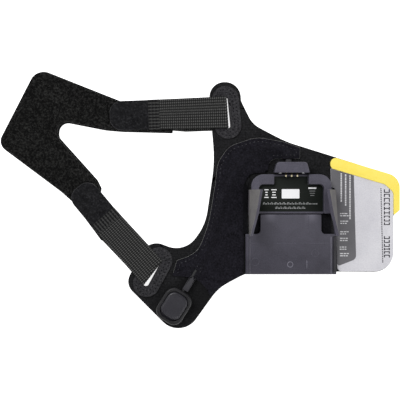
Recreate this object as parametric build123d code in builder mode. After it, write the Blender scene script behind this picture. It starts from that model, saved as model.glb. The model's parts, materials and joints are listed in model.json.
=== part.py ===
from build123d import *
import math
import os

# Hand-worn scanner holder: a fabric panel for the back of the hand, which carries a moulded cradle
# and a thumb trigger, and a palm wrap that two elastic straps close. Millimetres.
# X runs from the palm wrap to the label end, Y from the wrist side to the finger side's other edge,
# and Z out of the back of the hand. The skin side of the lining and of the palm wrap is at Z = 0.

# ---------------------------------------------------------------- levels of the stacked layers
LINING_TOP = 1.3
PANEL_TOP = 2.9
COVER_TOP = 3.7
PATCH_TOP = 3.9
LABEL_TOP = 3.3
PRINT_TOP = 3.45
TRIM_TOP = 3.75
PALM_BASE_TOP = 1.2
PILE_TOP = 2.6
WEBBING = 1.2  # thickness of the elastic
UPPER_RUN = PATCH_TOP + 0.1  # underside of the elastic's outer run
PAD_BOTTOM = PILE_TOP + 0.1
TAB_TOP = 5.0

# ---------------------------------------------------------------- outlines: x, y, corner radius
PANEL = [
    (4.5, 65, 8.2), (22.4, 65, 8.6), (22.5, 54.8, 5), (28.9, 41.8, 14), (47.2, 32.2, 60),
    (109.7, 12.6, 8), (109.7, -5.5, 1), (106.4, -8.6, 2), (106.4, -39.6, 10.5), (27.5, -39.2, 26),
    (10.2, -48.4, 25), (-10.5, -77.1, 12), (-41.3, -46.3, 7.5), (-28.2, -21.6, 9),
    (-8.5, -29.1, 13), (3, -13.6, 30), (8, 21, 80),
]
LINING = [
    (9.8, 35, 4), (26, 38.5, 5), (46, 28.8, 30), (106.2, 10.6, 6), (103.6, -37, 9), (26.4, -37, 24),
    (8.6, -47, 20), (-9.5, -71, 11), (-23.5, -58.2, 5), (-18.6, -43, 6), (-15.8, -29.6, 3),
    (-6.5, -27.6, 9), (5.6, -12, 26),
]
COVER = [
    (46, 32, 2), (31, 34.7, 18), (16, 29.6, 10), (9.6, 20.5, 14), (8.3, 8.5, 30), (4.6, -13.5, 60),
    (-1.4, -29, 14),
    (-12.7, -33.2, 0.6), (-15.4, -41.9, 0.8), (0.5, -42.6, 15), (5.8, -53.6, 0.5),
    (10.4, -48.5, 22), (24.2, -40.4, 4), (24.2, 8.6, 1.5), (27.4, 14.6, 6), (37.2, 15, 2),
    (38.4, 22.4, 4),
    (55, 22.6, 0.8), (55, 28.8, 0.3),
]
PALM = [
    (-90.2, 73, 8), (-111.9, 30.8, 6), (-76.3, 4.2, 40), (-70.1, -1.4, 12), (-54.3, -22.8, 0.8),
    (-41.6, -12.3, 0.8), (-54.9, 4, 0.8), (-54.4, 6.5, 0.8), (-56.6, 11, 6), (-78, 34.8, 4),
    (-77.4, 43.4, 5), (-52, 38.4, 40), (-42.5, 37.6, 8), (-15, 36.9, 0.8), (-15.5, 53.4, 0.8),
    (-40.5, 53.3, 10),
]
LABEL = [
    (71.8, 17.5, 0.5), (101.5, 8.6, 3), (106.35, 4.3, 4.2), (106.35, -39.2, 10.5), (75.5, -39.2, 2.5),
    (74.3, 6.2, 0.5), (71.9, 7.4, 0.5),
]
PRINT = [
    (71.9, 17.3, 0.4), (84.5, 13.5, 0.4), (85.8, -32.4, 3), (75.6, -36.4, 1), (74.4, 6.1, 0.5),
    (72, 7.4, 0.5),
]
TRIM = [
    (71.6, 24.2, 3.1), (109.7, 12.65, 8), (109.7, -5.6, 0.8), (106.3, -8.6, 0.5),
    (106.3, 4.4, 4.5), (101.4, 8.4, 3), (71.6, 17.3, 3.2),
]

# ---------------------------------------------------------------- strap slots and straps
# Each strap: its slot and the slot's angle, the angle of its fold there and how far the fold lies
# towards the palm wrap, the point on its centreline where the tab is sewn to the elastic, its
# direction from there, and how far past that point the palm wrap's backing goes.
STRAPS = {
    "upper": ((14.2, 48.1), 95.8, 94.4, -0.2, (-28, 46.8), 2.1, 12.6),
    "lower": ((-26.4, -39.4), 61.4, 55.4, -0.1, (-53.2, -9.4), -50.2, 9.3),
}
SLOT_LENGTH = 17.8
SLOT_WIDTH = 3.4
PATCH_RADIUS = 7.4
PATCH_SPAN = 14.2  # between the centres of a patch's round ends
PATCH_SHIFT = 0.5  # from the slot's centre to the patch's, away from the palm wrap
STRAP_WIDTH = 16
TAB_LENGTH = 21.4
TAB_CORNER = 6.5
SEAM_GAP = 0.2  # between a tab's end and its elastic
RUN_SHIFT = 0.9  # the inner run lies this far to one side of the outer run

# ---------------------------------------------------------------- cradle, about its own middle
CRADLE_X = 49.8
BASE_HALF = 24.9
BASE_FRONT = -40.8
BASE_SHOULDER = -18.6  # where the rails end and the side windows begin
FLOOR_TOP = 4.9
RAIL_TOP = 6.4
TONGUE_HALF = 16.7
TONGUE_BACK = -7.9
FRAME_TOP = 7.6
FRAME_BACK = 14
BLOCK_FRONT = 14.8
BLOCK_BACK = 20.6
BLOCK_TOP = 10.2
PIN_PITCH = 3.1
PIN_LEVEL = 7.7
PIN_TIP = 12.6
PIN_BACK = 16.7
SPRING_BACK = 18.1
BOARD_FRONT = 18.4
SCREWS = [(-12, -13), (12, -13), (-12, -31), (12, -31)]
# Sections across an arm from back to front: y, bottom, outside, knee height, lip, top, wall. The
# front stretch stands clear of the floor.
ARM_SECTIONS = [
    (5.6, 3.2, 23.3, 12.0, 16.6, 22.4, 1.8),
    (-7.9, 3.2, 23.5, 15.4, 19.0, 22.2, 1.7),
    (-8.1, 8.2, 23.5, 15.5, 19.1, 22.2, 1.7),
    (-18.9, 14.0, 23.6, 18.8, 21.9, 21.8, 1.5),
]

# ---------------------------------------------------------------- trigger, about its own middle
TRIGGER_POINT = (-14.2, -57.8)
TRIGGER_ANGLE = 58  # of its long axis from +X
TRIGGER_LENGTH = 18.8
TRIGGER_WIDTH = 15.6
SHIELD_BULGE = 2.2  # how far each end swells past the straight sides
BEZEL_WALL = 1.7
WELL_LENGTH = 15
WELL_WIDTH = 11.4
LEDGE = 5.4
BASE_TOP = 7.3
BEZEL_TOP = 8.6
BUTTON_TOP = 9.8

# ---------------------------------------------------------------- cable under the cover
CABLE_RADIUS = 0.9
CABLE_LEVEL = 4.1
CABLE_START = (-10.6, -52.1)
CABLE_ROUTE = [
    CABLE_START, (-2, -38.3), (7.5, -20), (13, 2), (21, 18.5), (34, 28.6), (48.4, 27.6),
    (48.4, 16.6),
]
TUNNEL_RADIUS = 1.0
RIDGE_TOP = 5.6  # of the cover where the cable lifts it
RIDGE_WIDTH = 4

os.makedirs("parts", exist_ok=True)


def draw(corners, mode=Mode.ADD):
    """Draws a closed outline of straight edges with its own round at each corner."""
    with BuildLine() as loop:
        FilletPolyline(*[(x, y) for x, y, r in corners], radius=[r for x, y, r in corners], close=True)
    make_face(loop.line, mode=mode)


def at(point, angle):
    """A plane at Z = 0 whose X axis lies at that angle."""
    turn = math.radians(angle)
    return Plane(origin=(point[0], point[1], 0), x_dir=(math.cos(turn), math.sin(turn), 0))


TRIGGER = at(TRIGGER_POINT, TRIGGER_ANGLE)


def save(piece, name):
    """Labels a finished piece and writes it."""
    piece.part.label = name
    export_step(piece.part, f"parts/{name}.step")


def along(point, angle, distance, aside=0):
    """The point that far along a direction, and that far to its left."""
    turn = math.radians(angle)
    return (
        point[0] + distance * math.cos(turn) - aside * math.sin(turn),
        point[1] + distance * math.sin(turn) + aside * math.cos(turn),
    )


def route_radii(points):
    """The largest arc that each corner of a cable's route leaves room for."""
    radii = []
    for before, corner, after in zip(points, points[1:], points[2:]):
        arriving = Vector(corner) - Vector(before)
        leaving = Vector(after) - Vector(corner)
        half_turn = math.radians(arriving.get_angle(leaving)) / 2
        radii.append(0.45 * min(arriving.length, leaving.length) / math.tan(half_turn))
    return radii


CABLE_RADII = route_radii(CABLE_ROUTE)
print("cable arcs, mm:", [round(r, 1) for r in CABLE_RADII])


# ================================================================ fabric panel
def make_back_panel():
    with BuildPart() as panel:
        with BuildSketch(Plane.XY.offset(LINING_TOP)):
            draw(PANEL)
        extrude(amount=PANEL_TOP - LINING_TOP)
        for slot, slot_angle, *rest in STRAPS.values():
            with BuildSketch(at(slot, slot_angle)):
                SlotOverall(SLOT_LENGTH, SLOT_WIDTH)
            extrude(amount=PANEL_TOP, mode=Mode.SUBTRACT)
        with BuildSketch(TRIGGER):
            RectangleRounded(WELL_LENGTH + 2.1, WELL_WIDTH + 2.1, 3.6)
        extrude(amount=PANEL_TOP, mode=Mode.SUBTRACT)
        with BuildSketch(Plane.XY):
            with Locations(*[(CRADLE_X + x, y) for x, y in SCREWS]):
                Circle(1.1)
        extrude(amount=PANEL_TOP, mode=Mode.SUBTRACT)
    save(panel, "back_panel")


def make_inner_lining():
    with BuildPart() as lining:
        with BuildSketch():
            draw(LINING)
        extrude(amount=LINING_TOP)
        with BuildSketch(Plane.XY.offset(0.5)):
            with Locations((CRADLE_X, -22)):
                RectangleRounded(34.4, 28.4, 3)
        extrude(amount=LINING_TOP, mode=Mode.SUBTRACT)
    save(lining, "inner_lining")


def make_cable_cover():
    with BuildPart() as cover:
        with BuildSketch(Plane.XY.offset(PANEL_TOP)):
            draw(COVER)
        extrude(amount=COVER_TOP - PANEL_TOP)
        ridge = CABLE_ROUTE[1:]
        with BuildSketch(Plane.XY.offset(COVER_TOP)):
            with BuildLine() as middle:
                FilletPolyline(*ridge, radius=route_radii(ridge))
            trace(middle.line, line_width=RIDGE_WIDTH)
            draw(COVER, mode=Mode.INTERSECT)
        extrude(amount=RIDGE_TOP - COVER_TOP)
        with BuildLine():
            FilletPolyline(*[(x, y, CABLE_LEVEL) for x, y in CABLE_ROUTE], radius=CABLE_RADII)
        with BuildSketch(route_end_plane()):
            Circle(TUNNEL_RADIUS)
            with Locations((0, TUNNEL_RADIUS - CABLE_LEVEL + PANEL_TOP)):
                Rectangle(2 * TUNNEL_RADIUS, 2 * TUNNEL_RADIUS)
        sweep(mode=Mode.SUBTRACT)
    save(cover, "cable_cover")


def route_end_plane():
    """The plane across the cable's first run, with its Y axis up."""
    start = Vector(*CABLE_ROUTE[0], CABLE_LEVEL)
    forward = (Vector(*CABLE_ROUTE[1], CABLE_LEVEL) - start).normalized()
    return Plane(origin=start, x_dir=Vector(0, 0, 1).cross(forward), z_dir=forward)


def make_slot_patches():
    for name, (slot, angle, *rest) in STRAPS.items():
        with BuildPart() as patch:
            with BuildSketch(at(along(slot, angle, 0, -PATCH_SHIFT), angle).offset(PANEL_TOP)):
                SlotCenterToCenter(PATCH_SPAN, 2 * PATCH_RADIUS)
            extrude(amount=PATCH_TOP - PANEL_TOP)
            with BuildSketch(at(slot, angle)):
                SlotOverall(SLOT_LENGTH, SLOT_WIDTH)
            extrude(amount=PATCH_TOP, mode=Mode.SUBTRACT)
        save(patch, f"{name}_slot_patch")


# ================================================================ label end
def make_label_end():
    with BuildPart() as label:
        with BuildSketch(Plane.XY.offset(PANEL_TOP)):
            draw(LABEL)
        extrude(amount=LABEL_TOP - PANEL_TOP)
    save(label, "reflective_patch")
    with BuildPart() as panel:
        with BuildSketch(Plane.XY.offset(LABEL_TOP)):
            draw(PRINT)
        extrude(amount=PRINT_TOP - LABEL_TOP)
    save(panel, "print_panel")
    with BuildPart() as trim:
        with BuildSketch(Plane.XY.offset(PANEL_TOP)):
            draw(TRIM)
            draw(LABEL, mode=Mode.SUBTRACT)
        extrude(amount=TRIM_TOP - PANEL_TOP)
    save(trim, "yellow_trim")


# ================================================================ cradle
def make_cradle_base():
    """The floor that the scanner slides over, with a rail along each side and a middle tongue."""
    with BuildPart() as base:
        with BuildSketch(Plane.XY.offset(PANEL_TOP)):
            draw([
                (CRADLE_X - BASE_HALF, BASE_FRONT, 0), (CRADLE_X + BASE_HALF, BASE_FRONT, 0),
                (CRADLE_X + BASE_HALF, BASE_SHOULDER, 0.5), (CRADLE_X + TONGUE_HALF, BASE_SHOULDER, 2.2),
                (CRADLE_X + TONGUE_HALF, TONGUE_BACK, 0.6), (CRADLE_X - TONGUE_HALF, TONGUE_BACK, 0.6),
                (CRADLE_X - TONGUE_HALF, BASE_SHOULDER, 2.2), (CRADLE_X - BASE_HALF, BASE_SHOULDER, 0.5),
            ])
        extrude(amount=FLOOR_TOP - PANEL_TOP)
        chamfer(base.edges().filter_by(Axis.X).group_by(Axis.Y)[0].group_by(Axis.Z)[-1], 0.7)
        rail_length = BASE_SHOULDER - BASE_FRONT - 2.4
        rail_middle = (BASE_SHOULDER + BASE_FRONT) / 2
        with BuildSketch(Plane.XY.offset(FLOOR_TOP)):
            with Locations((CRADLE_X - BASE_HALF + 1, rail_middle), (CRADLE_X + BASE_HALF - 1, rail_middle)):
                Rectangle(1.6, rail_length)
        extrude(amount=RAIL_TOP - FLOOR_TOP)
        with BuildSketch(Plane.XY.offset(PANEL_TOP)):
            with Locations(*[(CRADLE_X + x, y) for x, y in SCREWS]):
                Circle(0.9)
        extrude(amount=1.5, mode=Mode.SUBTRACT)
    save(base, "cradle_base")


def make_cradle_frame():
    """The U-shaped frame round the label seat, with the two arms that hold the scanner's sides."""
    with BuildPart() as frame_piece:
        with BuildSketch(Plane.XY.offset(PANEL_TOP)):
            draw([
                (CRADLE_X - 21.8, TONGUE_BACK + 0.5, 0.5), (CRADLE_X + 21.8, TONGUE_BACK + 0.5, 0.5),
                (CRADLE_X + 21.8, FRAME_BACK, 6.6), (CRADLE_X - 21.8, FRAME_BACK, 6.6),
            ])
        extrude(amount=4.6 - PANEL_TOP)
        with BuildSketch(Plane.XY.offset(PANEL_TOP)):
            draw([
                (CRADLE_X - 21.8, TONGUE_BACK + 0.5, 0.5), (CRADLE_X - 21.8, FRAME_BACK, 6.6),
                (CRADLE_X - 9.4, FRAME_BACK, 0.6), (CRADLE_X - 9.4, 8.6, 0.6),
                (CRADLE_X - 17.7, 8.6, 2.4), (CRADLE_X - 17.7, TONGUE_BACK + 0.5, 0.5),
            ])
            draw([
                (CRADLE_X + 21.8, TONGUE_BACK + 0.5, 0.5), (CRADLE_X + 21.8, FRAME_BACK, 6.6),
                (CRADLE_X + 9.4, FRAME_BACK, 0.6), (CRADLE_X + 9.4, 8.6, 0.6),
                (CRADLE_X + 17.7, 8.6, 2.4), (CRADLE_X + 17.7, TONGUE_BACK + 0.5, 0.5),
            ])
        extrude(amount=FRAME_TOP - PANEL_TOP)
        for side in (-1, 1):
            for back, front in zip(ARM_SECTIONS, ARM_SECTIONS[1:]):
                with BuildSketch(Plane.XZ.offset(-back[0])):
                    draw_arm(side, *back[1:])
                with BuildSketch(Plane.XZ.offset(-front[0])):
                    draw_arm(side, *front[1:])
                loft()
    save(frame_piece, "cradle_frame")


def draw_arm(side, bottom, outside, knee, lip, top, wall):
    """A section across an arm: a wall that stands up to its knee and then folds in to a lip."""
    with BuildLine() as loop:
        Polyline(
            (CRADLE_X + side * (outside - wall), bottom),
            (CRADLE_X + side * outside, bottom),
            (CRADLE_X + side * outside, knee),
            (CRADLE_X + side * (lip + 1.5), top),
            (CRADLE_X + side * lip, top - 1.1),
            (CRADLE_X + side * (outside - wall), knee - 0.9),
            close=True,
        )
    make_face(loop.line)


def make_id_label():
    with BuildPart() as label:
        with BuildSketch(Plane.XY.offset(4.6)):
            draw([
                (CRADLE_X - 17.5, TONGUE_BACK + 1.6, 0.5), (CRADLE_X + 17.5, TONGUE_BACK + 1.6, 0.5),
                (CRADLE_X + 17.5, 8.4, 2.3), (CRADLE_X + 9.2, 8.4, 0.4), (CRADLE_X + 9.2, 12.9, 0.4),
                (CRADLE_X - 9.2, 12.9, 0.4), (CRADLE_X - 9.2, 8.4, 0.4), (CRADLE_X - 17.5, 8.4, 2.3),
            ])
        extrude(amount=0.2)
    save(label, "id_label")


def make_fixings():
    with BuildPart() as plate:
        with BuildSketch(Plane.XY.offset(0.5)):
            with Locations((CRADLE_X, -22)):
                RectangleRounded(34, 28, 3)
        extrude(amount=0.8)
        with Locations(Plane.XY.offset(0.5).rotated((180, 0, 0))):
            with Locations(*[(CRADLE_X + x, -y) for x, y in SCREWS]):
                CounterSinkHole(0.95, 1.75, depth=0.8, counter_sink_angle=90)
    save(plate, "backing_plate")
    with BuildPart() as screws:
        for x, y in SCREWS:
            with BuildSketch(Plane.XZ.offset(-y)):
                with BuildLine() as section:
                    Polyline(
                        (CRADLE_X + x, 0.55), (CRADLE_X + x + 1.6, 0.55), (CRADLE_X + x + 0.85, 1.3),
                        (CRADLE_X + x + 0.85, 4.2), (CRADLE_X + x, 4.2), close=True,
                    )
                make_face(section.line)
            revolve(axis=Axis((CRADLE_X + x, y, 0), (0, 0, 1)))
    save(screws, "cradle_screws")


# ================================================================ contact block
def make_contact_block():
    with BuildPart() as block:
        with BuildSketch(Plane.XY.offset(PANEL_TOP)):
            draw([
                (CRADLE_X - 9.7, BLOCK_FRONT, 0.4), (CRADLE_X + 9.7, BLOCK_FRONT, 0.4),
                (CRADLE_X + 8, BLOCK_BACK, 1.7), (CRADLE_X - 8, BLOCK_BACK, 1.7),
            ])
        extrude(amount=BLOCK_TOP - PANEL_TOP)
        fillet(block.faces().sort_by(Axis.Z)[-1].edges(), 0.5)
        with BuildSketch(Plane.XY.offset(PANEL_TOP)):
            with Locations((CRADLE_X, 18)):
                Rectangle(12.4, 3.8)
        extrude(amount=6.2, mode=Mode.SUBTRACT)
        with BuildSketch(Plane.XZ.offset(-BLOCK_FRONT)):
            with Locations(*[(CRADLE_X + k * PIN_PITCH, PIN_LEVEL) for k in (-1, 0, 1)]):
                Circle(1.0)
        extrude(amount=-1.4, mode=Mode.SUBTRACT)
        with BuildSketch(Plane.XZ.offset(-19.5)):
            with Locations((CABLE_ROUTE[-1][0], CABLE_LEVEL)):
                Circle(TUNNEL_RADIUS)
        extrude(amount=-3, mode=Mode.SUBTRACT)
        with BuildSketch(Plane.XY.offset(FRAME_TOP - 0.4)):
            with Locations((CRADLE_X - 6.4, 14.9), (CRADLE_X + 6.4, 14.9)):
                RectangleRounded(1.8, 1.2, 0.3)
        extrude(amount=1.2)
    save(block, "contact_block")
    with BuildPart() as grommet:
        with BuildSketch(Plane.XZ.offset(-BLOCK_BACK)):
            with Locations((CABLE_ROUTE[-1][0], 4.9)):
                RectangleRounded(3.2, 3.9, 0.9)
        extrude(amount=-1.5, taper=6)
        with BuildSketch(Plane.XZ.offset(-BLOCK_BACK)):
            with Locations((CABLE_ROUTE[-1][0], CABLE_LEVEL)):
                Circle(TUNNEL_RADIUS)
        extrude(amount=-4, mode=Mode.SUBTRACT)
    save(grommet, "block_grommet")
    with BuildPart() as board:
        with BuildSketch(Plane.XZ.offset(-BOARD_FRONT)):
            with Locations((CRADLE_X, 7)):
                Rectangle(11.6, 3.6)
        extrude(amount=-0.8)
    save(board, "contact_board")
    with BuildPart() as barrels:
        for k in (-1, 0, 1):
            with BuildSketch(Plane.XZ.offset(-BLOCK_FRONT)):
                with Locations((CRADLE_X + k * PIN_PITCH, PIN_LEVEL)):
                    Circle(0.95)
            extrude(amount=-(BOARD_FRONT - BLOCK_FRONT))
            with BuildSketch(Plane.XZ.offset(-BLOCK_FRONT)):
                with Locations((CRADLE_X + k * PIN_PITCH, PIN_LEVEL)):
                    Circle(0.65)
            extrude(amount=-(SPRING_BACK - BLOCK_FRONT), mode=Mode.SUBTRACT)
    save(barrels, "contact_barrels")
    for number, k in enumerate((-1, 0, 1), start=1):
        with BuildPart() as plunger:
            with BuildSketch(Plane.XZ.offset(-PIN_BACK)):
                with Locations((CRADLE_X + k * PIN_PITCH, PIN_LEVEL)):
                    Circle(0.55)
            extrude(amount=PIN_BACK - PIN_TIP)
            fillet(plunger.faces().sort_by(Axis.Y)[0].edges(), 0.4)
        save(plunger, f"contact_plunger_{number}")
        with BuildPart() as spring:
            with BuildSketch(Plane.XZ.offset(-PIN_BACK)):
                with Locations((CRADLE_X + k * PIN_PITCH, PIN_LEVEL)):
                    Circle(0.55)
                    Circle(0.4, mode=Mode.SUBTRACT)
            extrude(amount=-(SPRING_BACK - PIN_BACK))
        save(spring, f"contact_spring_{number}")


# ================================================================ trigger
def draw_shield(inset, mode=Mode.ADD):
    """The trigger's outline: straight sides and bulged ends, drawn that far inside the rim."""
    length = TRIGGER_LENGTH / 2 - inset
    width = TRIGGER_WIDTH / 2 - inset
    shoulder = length - SHIELD_BULGE
    with BuildLine() as loop:
        FilletPolyline(
            (shoulder, -width), (length, -width / 2), (length, width / 2), (shoulder, width),
            (-shoulder, width), (-length, width / 2), (-length, -width / 2), (-shoulder, -width),
            radius=5.2 - 0.42 * inset, close=True,
        )
    make_face(loop.line, mode=mode)


def make_trigger():
    with BuildPart() as base:
        with BuildSketch(TRIGGER.offset(PANEL_TOP)):
            draw_shield(0)
        extrude(amount=BASE_TOP - PANEL_TOP)
        with BuildSketch(TRIGGER.offset(LINING_TOP)):
            RectangleRounded(WELL_LENGTH + 2, WELL_WIDTH + 2, 3.6)
        extrude(amount=PANEL_TOP - LINING_TOP)
        with BuildSketch(TRIGGER.offset(2.3)):
            RectangleRounded(WELL_LENGTH, WELL_WIDTH, 2.8)
        extrude(amount=LEDGE - 2.3, mode=Mode.SUBTRACT)
        with BuildSketch(TRIGGER.offset(LEDGE)):
            draw_shield(1.2)
        extrude(amount=BASE_TOP - LEDGE, mode=Mode.SUBTRACT)
        with BuildSketch(route_end_plane()):
            Circle(TUNNEL_RADIUS)
        extrude(amount=6, both=True, mode=Mode.SUBTRACT)
    save(base, "trigger_base")
    with BuildPart() as board:
        with BuildSketch(TRIGGER.offset(2.3)):
            RectangleRounded(WELL_LENGTH - 0.6, WELL_WIDTH - 0.6, 2.5)
        extrude(amount=0.8)
    save(board, "trigger_board")
    with BuildPart() as switch:
        with BuildSketch(TRIGGER.offset(3.1)):
            RectangleRounded(4.5, 4.5, 0.4)
        extrude(amount=1.1)
        with BuildSketch(TRIGGER.offset(4.2)):
            Circle(1.2)
        extrude(amount=0.3)
    save(switch, "trigger_switch")
    with BuildPart() as membrane:
        with BuildSketch(TRIGGER.offset(LEDGE)):
            draw_shield(1.3)
        extrude(amount=0.4)
        with BuildSketch(TRIGGER.offset(4.6)):
            Circle(2.2)
        extrude(amount=1.75)
    save(membrane, "trigger_membrane")
    with BuildPart() as bezel:
        with BuildSketch(TRIGGER.offset(BASE_TOP)):
            draw_shield(0)
            draw_shield(BEZEL_WALL, mode=Mode.SUBTRACT)
        extrude(amount=BEZEL_TOP - BASE_TOP)
        outer = bezel.faces().sort_by(Axis.Z)[-1].outer_wire().edges()
        chamfer(outer, 0.6)
    save(bezel, "trigger_bezel")
    with BuildPart() as button:
        with BuildSketch(TRIGGER.offset(6.7)):
            draw_shield(1.45)
        extrude(amount=0.5)
        with BuildSketch(TRIGGER.offset(6.7)):
            draw_shield(BEZEL_WALL + 0.2)
        extrude(amount=BUTTON_TOP - 6.7)
        chamfer(button.faces().sort_by(Axis.Z)[-1].edges(), 0.6)
        with BuildSketch(TRIGGER.offset(6.7)):
            Circle(1.8)
        extrude(amount=-0.3)
    save(button, "trigger_button")
    with BuildPart() as relief:
        with BuildSketch(TRIGGER.offset(PANEL_TOP)):
            with Locations((14.0, -0.7)):
                RectangleRounded(7.6, 3.4, 0.5)
        extrude(amount=2.8)
        with BuildSketch(TRIGGER.offset(PANEL_TOP)):
            draw_shield(-0.05)
        extrude(amount=4, mode=Mode.SUBTRACT)
        with BuildSketch(route_end_plane()):
            Circle(TUNNEL_RADIUS)
        extrude(amount=20, mode=Mode.SUBTRACT)
    save(relief, "trigger_strain_relief")


def make_cable():
    with BuildPart() as cable:
        with BuildLine() as route:
            FilletPolyline(*[(x, y, CABLE_LEVEL) for x, y in CABLE_ROUTE], radius=CABLE_RADII)
        with BuildSketch(route_end_plane()):
            Circle(CABLE_RADIUS)
        sweep()
    length = sum(edge.length for edge in route.edges())
    print("cable length, mm:", round(length, 1))
    print("cable volume over section times length:",
          round(cable.part.volume / (math.pi * CABLE_RADIUS**2 * length), 4))
    save(cable, "trigger_cable")


# ================================================================ palm wrap and straps
def make_palm_wrap():
    with BuildPart() as base:
        with BuildSketch():
            draw(PALM)
        extrude(amount=PALM_BASE_TOP)
        for slot, slot_angle, fold, shift, start, angle, reach in STRAPS.values():
            with BuildSketch(at(along(start, angle, reach), angle)):
                Rectangle(20, 30, align=(Align.MIN, Align.CENTER))
            extrude(amount=PALM_BASE_TOP, mode=Mode.SUBTRACT)
    save(base, "palm_base")
    with BuildPart() as pile:
        with BuildSketch(Plane.XY.offset(PALM_BASE_TOP)) as face:
            draw(PALM)
            offset(face.sketch, amount=-0.7, kind=Kind.INTERSECTION, mode=Mode.REPLACE)
        extrude(amount=PILE_TOP - PALM_BASE_TOP)
    save(pile, "palm_loop_face")


def make_straps():
    half = STRAP_WIDTH / 2
    for name, (slot, slot_angle, fold, shift, start, angle, reach) in STRAPS.items():
        bend = at(along(slot, fold, 0, shift), fold)
        near = along(slot, fold, half, shift - WEBBING / 2)
        far = along(slot, fold, -half, shift - WEBBING / 2)
        with BuildPart() as elastic:
            with BuildSketch(Plane.XY.offset(UPPER_RUN)):
                with BuildLine() as outer:
                    Polyline(
                        along(start, angle, SEAM_GAP, half), along(start, angle, SEAM_GAP, -half),
                        far, near, close=True,
                    )
                make_face(outer.line)
            extrude(amount=WEBBING)
            with BuildSketch(bend):
                Rectangle(STRAP_WIDTH, WEBBING)
            extrude(amount=UPPER_RUN + WEBBING)
            with BuildSketch():
                with BuildLine() as inner:
                    Polyline(
                        along(start, angle, reach, half - RUN_SHIFT),
                        along(start, angle, reach, -half - RUN_SHIFT),
                        far, near, close=True,
                    )
                make_face(inner.line)
            extrude(amount=WEBBING)
        save(elastic, f"{name}_elastic_strap")
        with BuildPart() as tab:
            with BuildSketch(at(start, angle).offset(UPPER_RUN)):
                draw([(0, -half, 0.1), (0, half, 0.1), (-TAB_LENGTH, half, TAB_CORNER),
                      (-TAB_LENGTH, -half, TAB_CORNER)])
            extrude(amount=TAB_TOP - UPPER_RUN)
        save(tab, f"{name}_hook_tab")
        with BuildPart() as pad:
            with BuildSketch(at(start, angle).offset(PAD_BOTTOM)):
                draw([(-1, -half + 1, 1), (-1, half - 1, 1), (-TAB_LENGTH + 1, half - 1, TAB_CORNER - 1),
                      (-TAB_LENGTH + 1, -half + 1, TAB_CORNER - 1)])
            extrude(amount=UPPER_RUN - PAD_BOTTOM)
        save(pad, f"{name}_hook_pad")


make_back_panel()
make_inner_lining()
make_cable_cover()
make_slot_patches()
make_label_end()
make_cradle_base()
make_cradle_frame()
make_id_label()
make_fixings()
make_contact_block()
make_trigger()
make_cable()
make_palm_wrap()
make_straps()
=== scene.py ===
# %% [markdown]
# # A hand-worn scanner holder
# A wrap for the back of the hand: a laminated fabric panel carries a moulded cradle, a thumb trigger and
# a reflective label end, and a palm wrap closes on two elastic straps. The CAD model fixes where every
# piece is and how it moves. This lesson gives the pieces their looks: cut and sewn cloth, ribbed elastic,
# napped loop pile, textured mouldings, gold contacts and printed films.

# %% The frame that everything is built on
import json
import math
import random

import bmesh
import bpy
import numpy
from mathutils import Matrix, Vector, noise
from mathutils.bvhtree import BVHTree


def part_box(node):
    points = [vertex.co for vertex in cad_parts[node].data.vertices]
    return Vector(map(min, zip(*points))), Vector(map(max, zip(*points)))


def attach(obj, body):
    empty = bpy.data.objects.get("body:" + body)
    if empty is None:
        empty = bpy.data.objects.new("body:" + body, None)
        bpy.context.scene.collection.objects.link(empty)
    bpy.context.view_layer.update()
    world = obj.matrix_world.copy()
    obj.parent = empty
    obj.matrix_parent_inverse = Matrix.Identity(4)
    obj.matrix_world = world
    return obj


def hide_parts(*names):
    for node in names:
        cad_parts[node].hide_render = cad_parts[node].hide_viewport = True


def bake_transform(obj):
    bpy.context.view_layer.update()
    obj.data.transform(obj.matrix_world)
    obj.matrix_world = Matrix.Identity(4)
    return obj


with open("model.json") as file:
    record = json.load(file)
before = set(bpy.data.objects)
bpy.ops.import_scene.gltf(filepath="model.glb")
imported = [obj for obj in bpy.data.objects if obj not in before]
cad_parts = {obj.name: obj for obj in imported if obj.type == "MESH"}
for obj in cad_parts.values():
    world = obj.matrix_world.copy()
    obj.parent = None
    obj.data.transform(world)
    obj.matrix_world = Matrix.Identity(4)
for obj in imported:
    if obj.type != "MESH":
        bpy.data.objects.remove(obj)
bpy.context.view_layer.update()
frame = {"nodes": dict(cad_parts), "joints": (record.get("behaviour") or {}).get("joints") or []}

MM = 0.001
nodes = frame["nodes"]
joints = {joint["name"]: joint for joint in frame["joints"]}

# %% [markdown]
# The holder is shown flat, from straight above, as on a product page. The picture spans 220 mm at the
# fabric's level, and the lens follows from that and from the camera's height.

# %% Camera
CAMERA_HEIGHT = 410 * MM
FABRIC_LEVEL = 3 * MM
PICTURE_WIDTH = 220 * MM
bpy.ops.object.camera_add(location=(0, 0, CAMERA_HEIGHT))
camera = bpy.context.object
camera.name = "camera"
camera.data.lens = camera.data.sensor_width * (CAMERA_HEIGHT - FABRIC_LEVEL) / PICTURE_WIDTH
camera.data.clip_start = 10 * MM
camera.data.clip_end = 10
bpy.context.scene.camera = camera
print("lens, mm:", round(camera.data.lens, 1))

# %% [markdown]
# Black cloth needs a lot of soft light and very little gloss. Two large soft boxes stand over the table,
# the stronger one at the upper left, and the surroundings fill the shadows. The plain view transform
# keeps the whites of the label and of the table white.

# %% Light and table
def soft_box(name, place, size, power):
    """A square lamp that faces the middle of the table."""
    bpy.ops.object.light_add(type="AREA", location=place)
    lamp = bpy.context.object
    lamp.name = name
    lamp.data.size = size
    lamp.data.energy = power
    lamp.rotation_euler = Vector(place).to_track_quat("Z", "Y").to_euler()
    return lamp


soft_box("key_light", (-0.30, 0.42, 0.62), 0.45, 4.1)
soft_box("fill_light", (0.45, -0.25, 0.55), 0.60, 1.9)
world = bpy.data.worlds.new("studio")
bpy.context.scene.world = world
world.use_nodes = True
world.node_tree.nodes["Background"].inputs["Color"].default_value = (1, 1, 1, 1)
world.node_tree.nodes["Background"].inputs["Strength"].default_value = 0.43
bpy.context.scene.view_settings.view_transform = "Standard"

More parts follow.
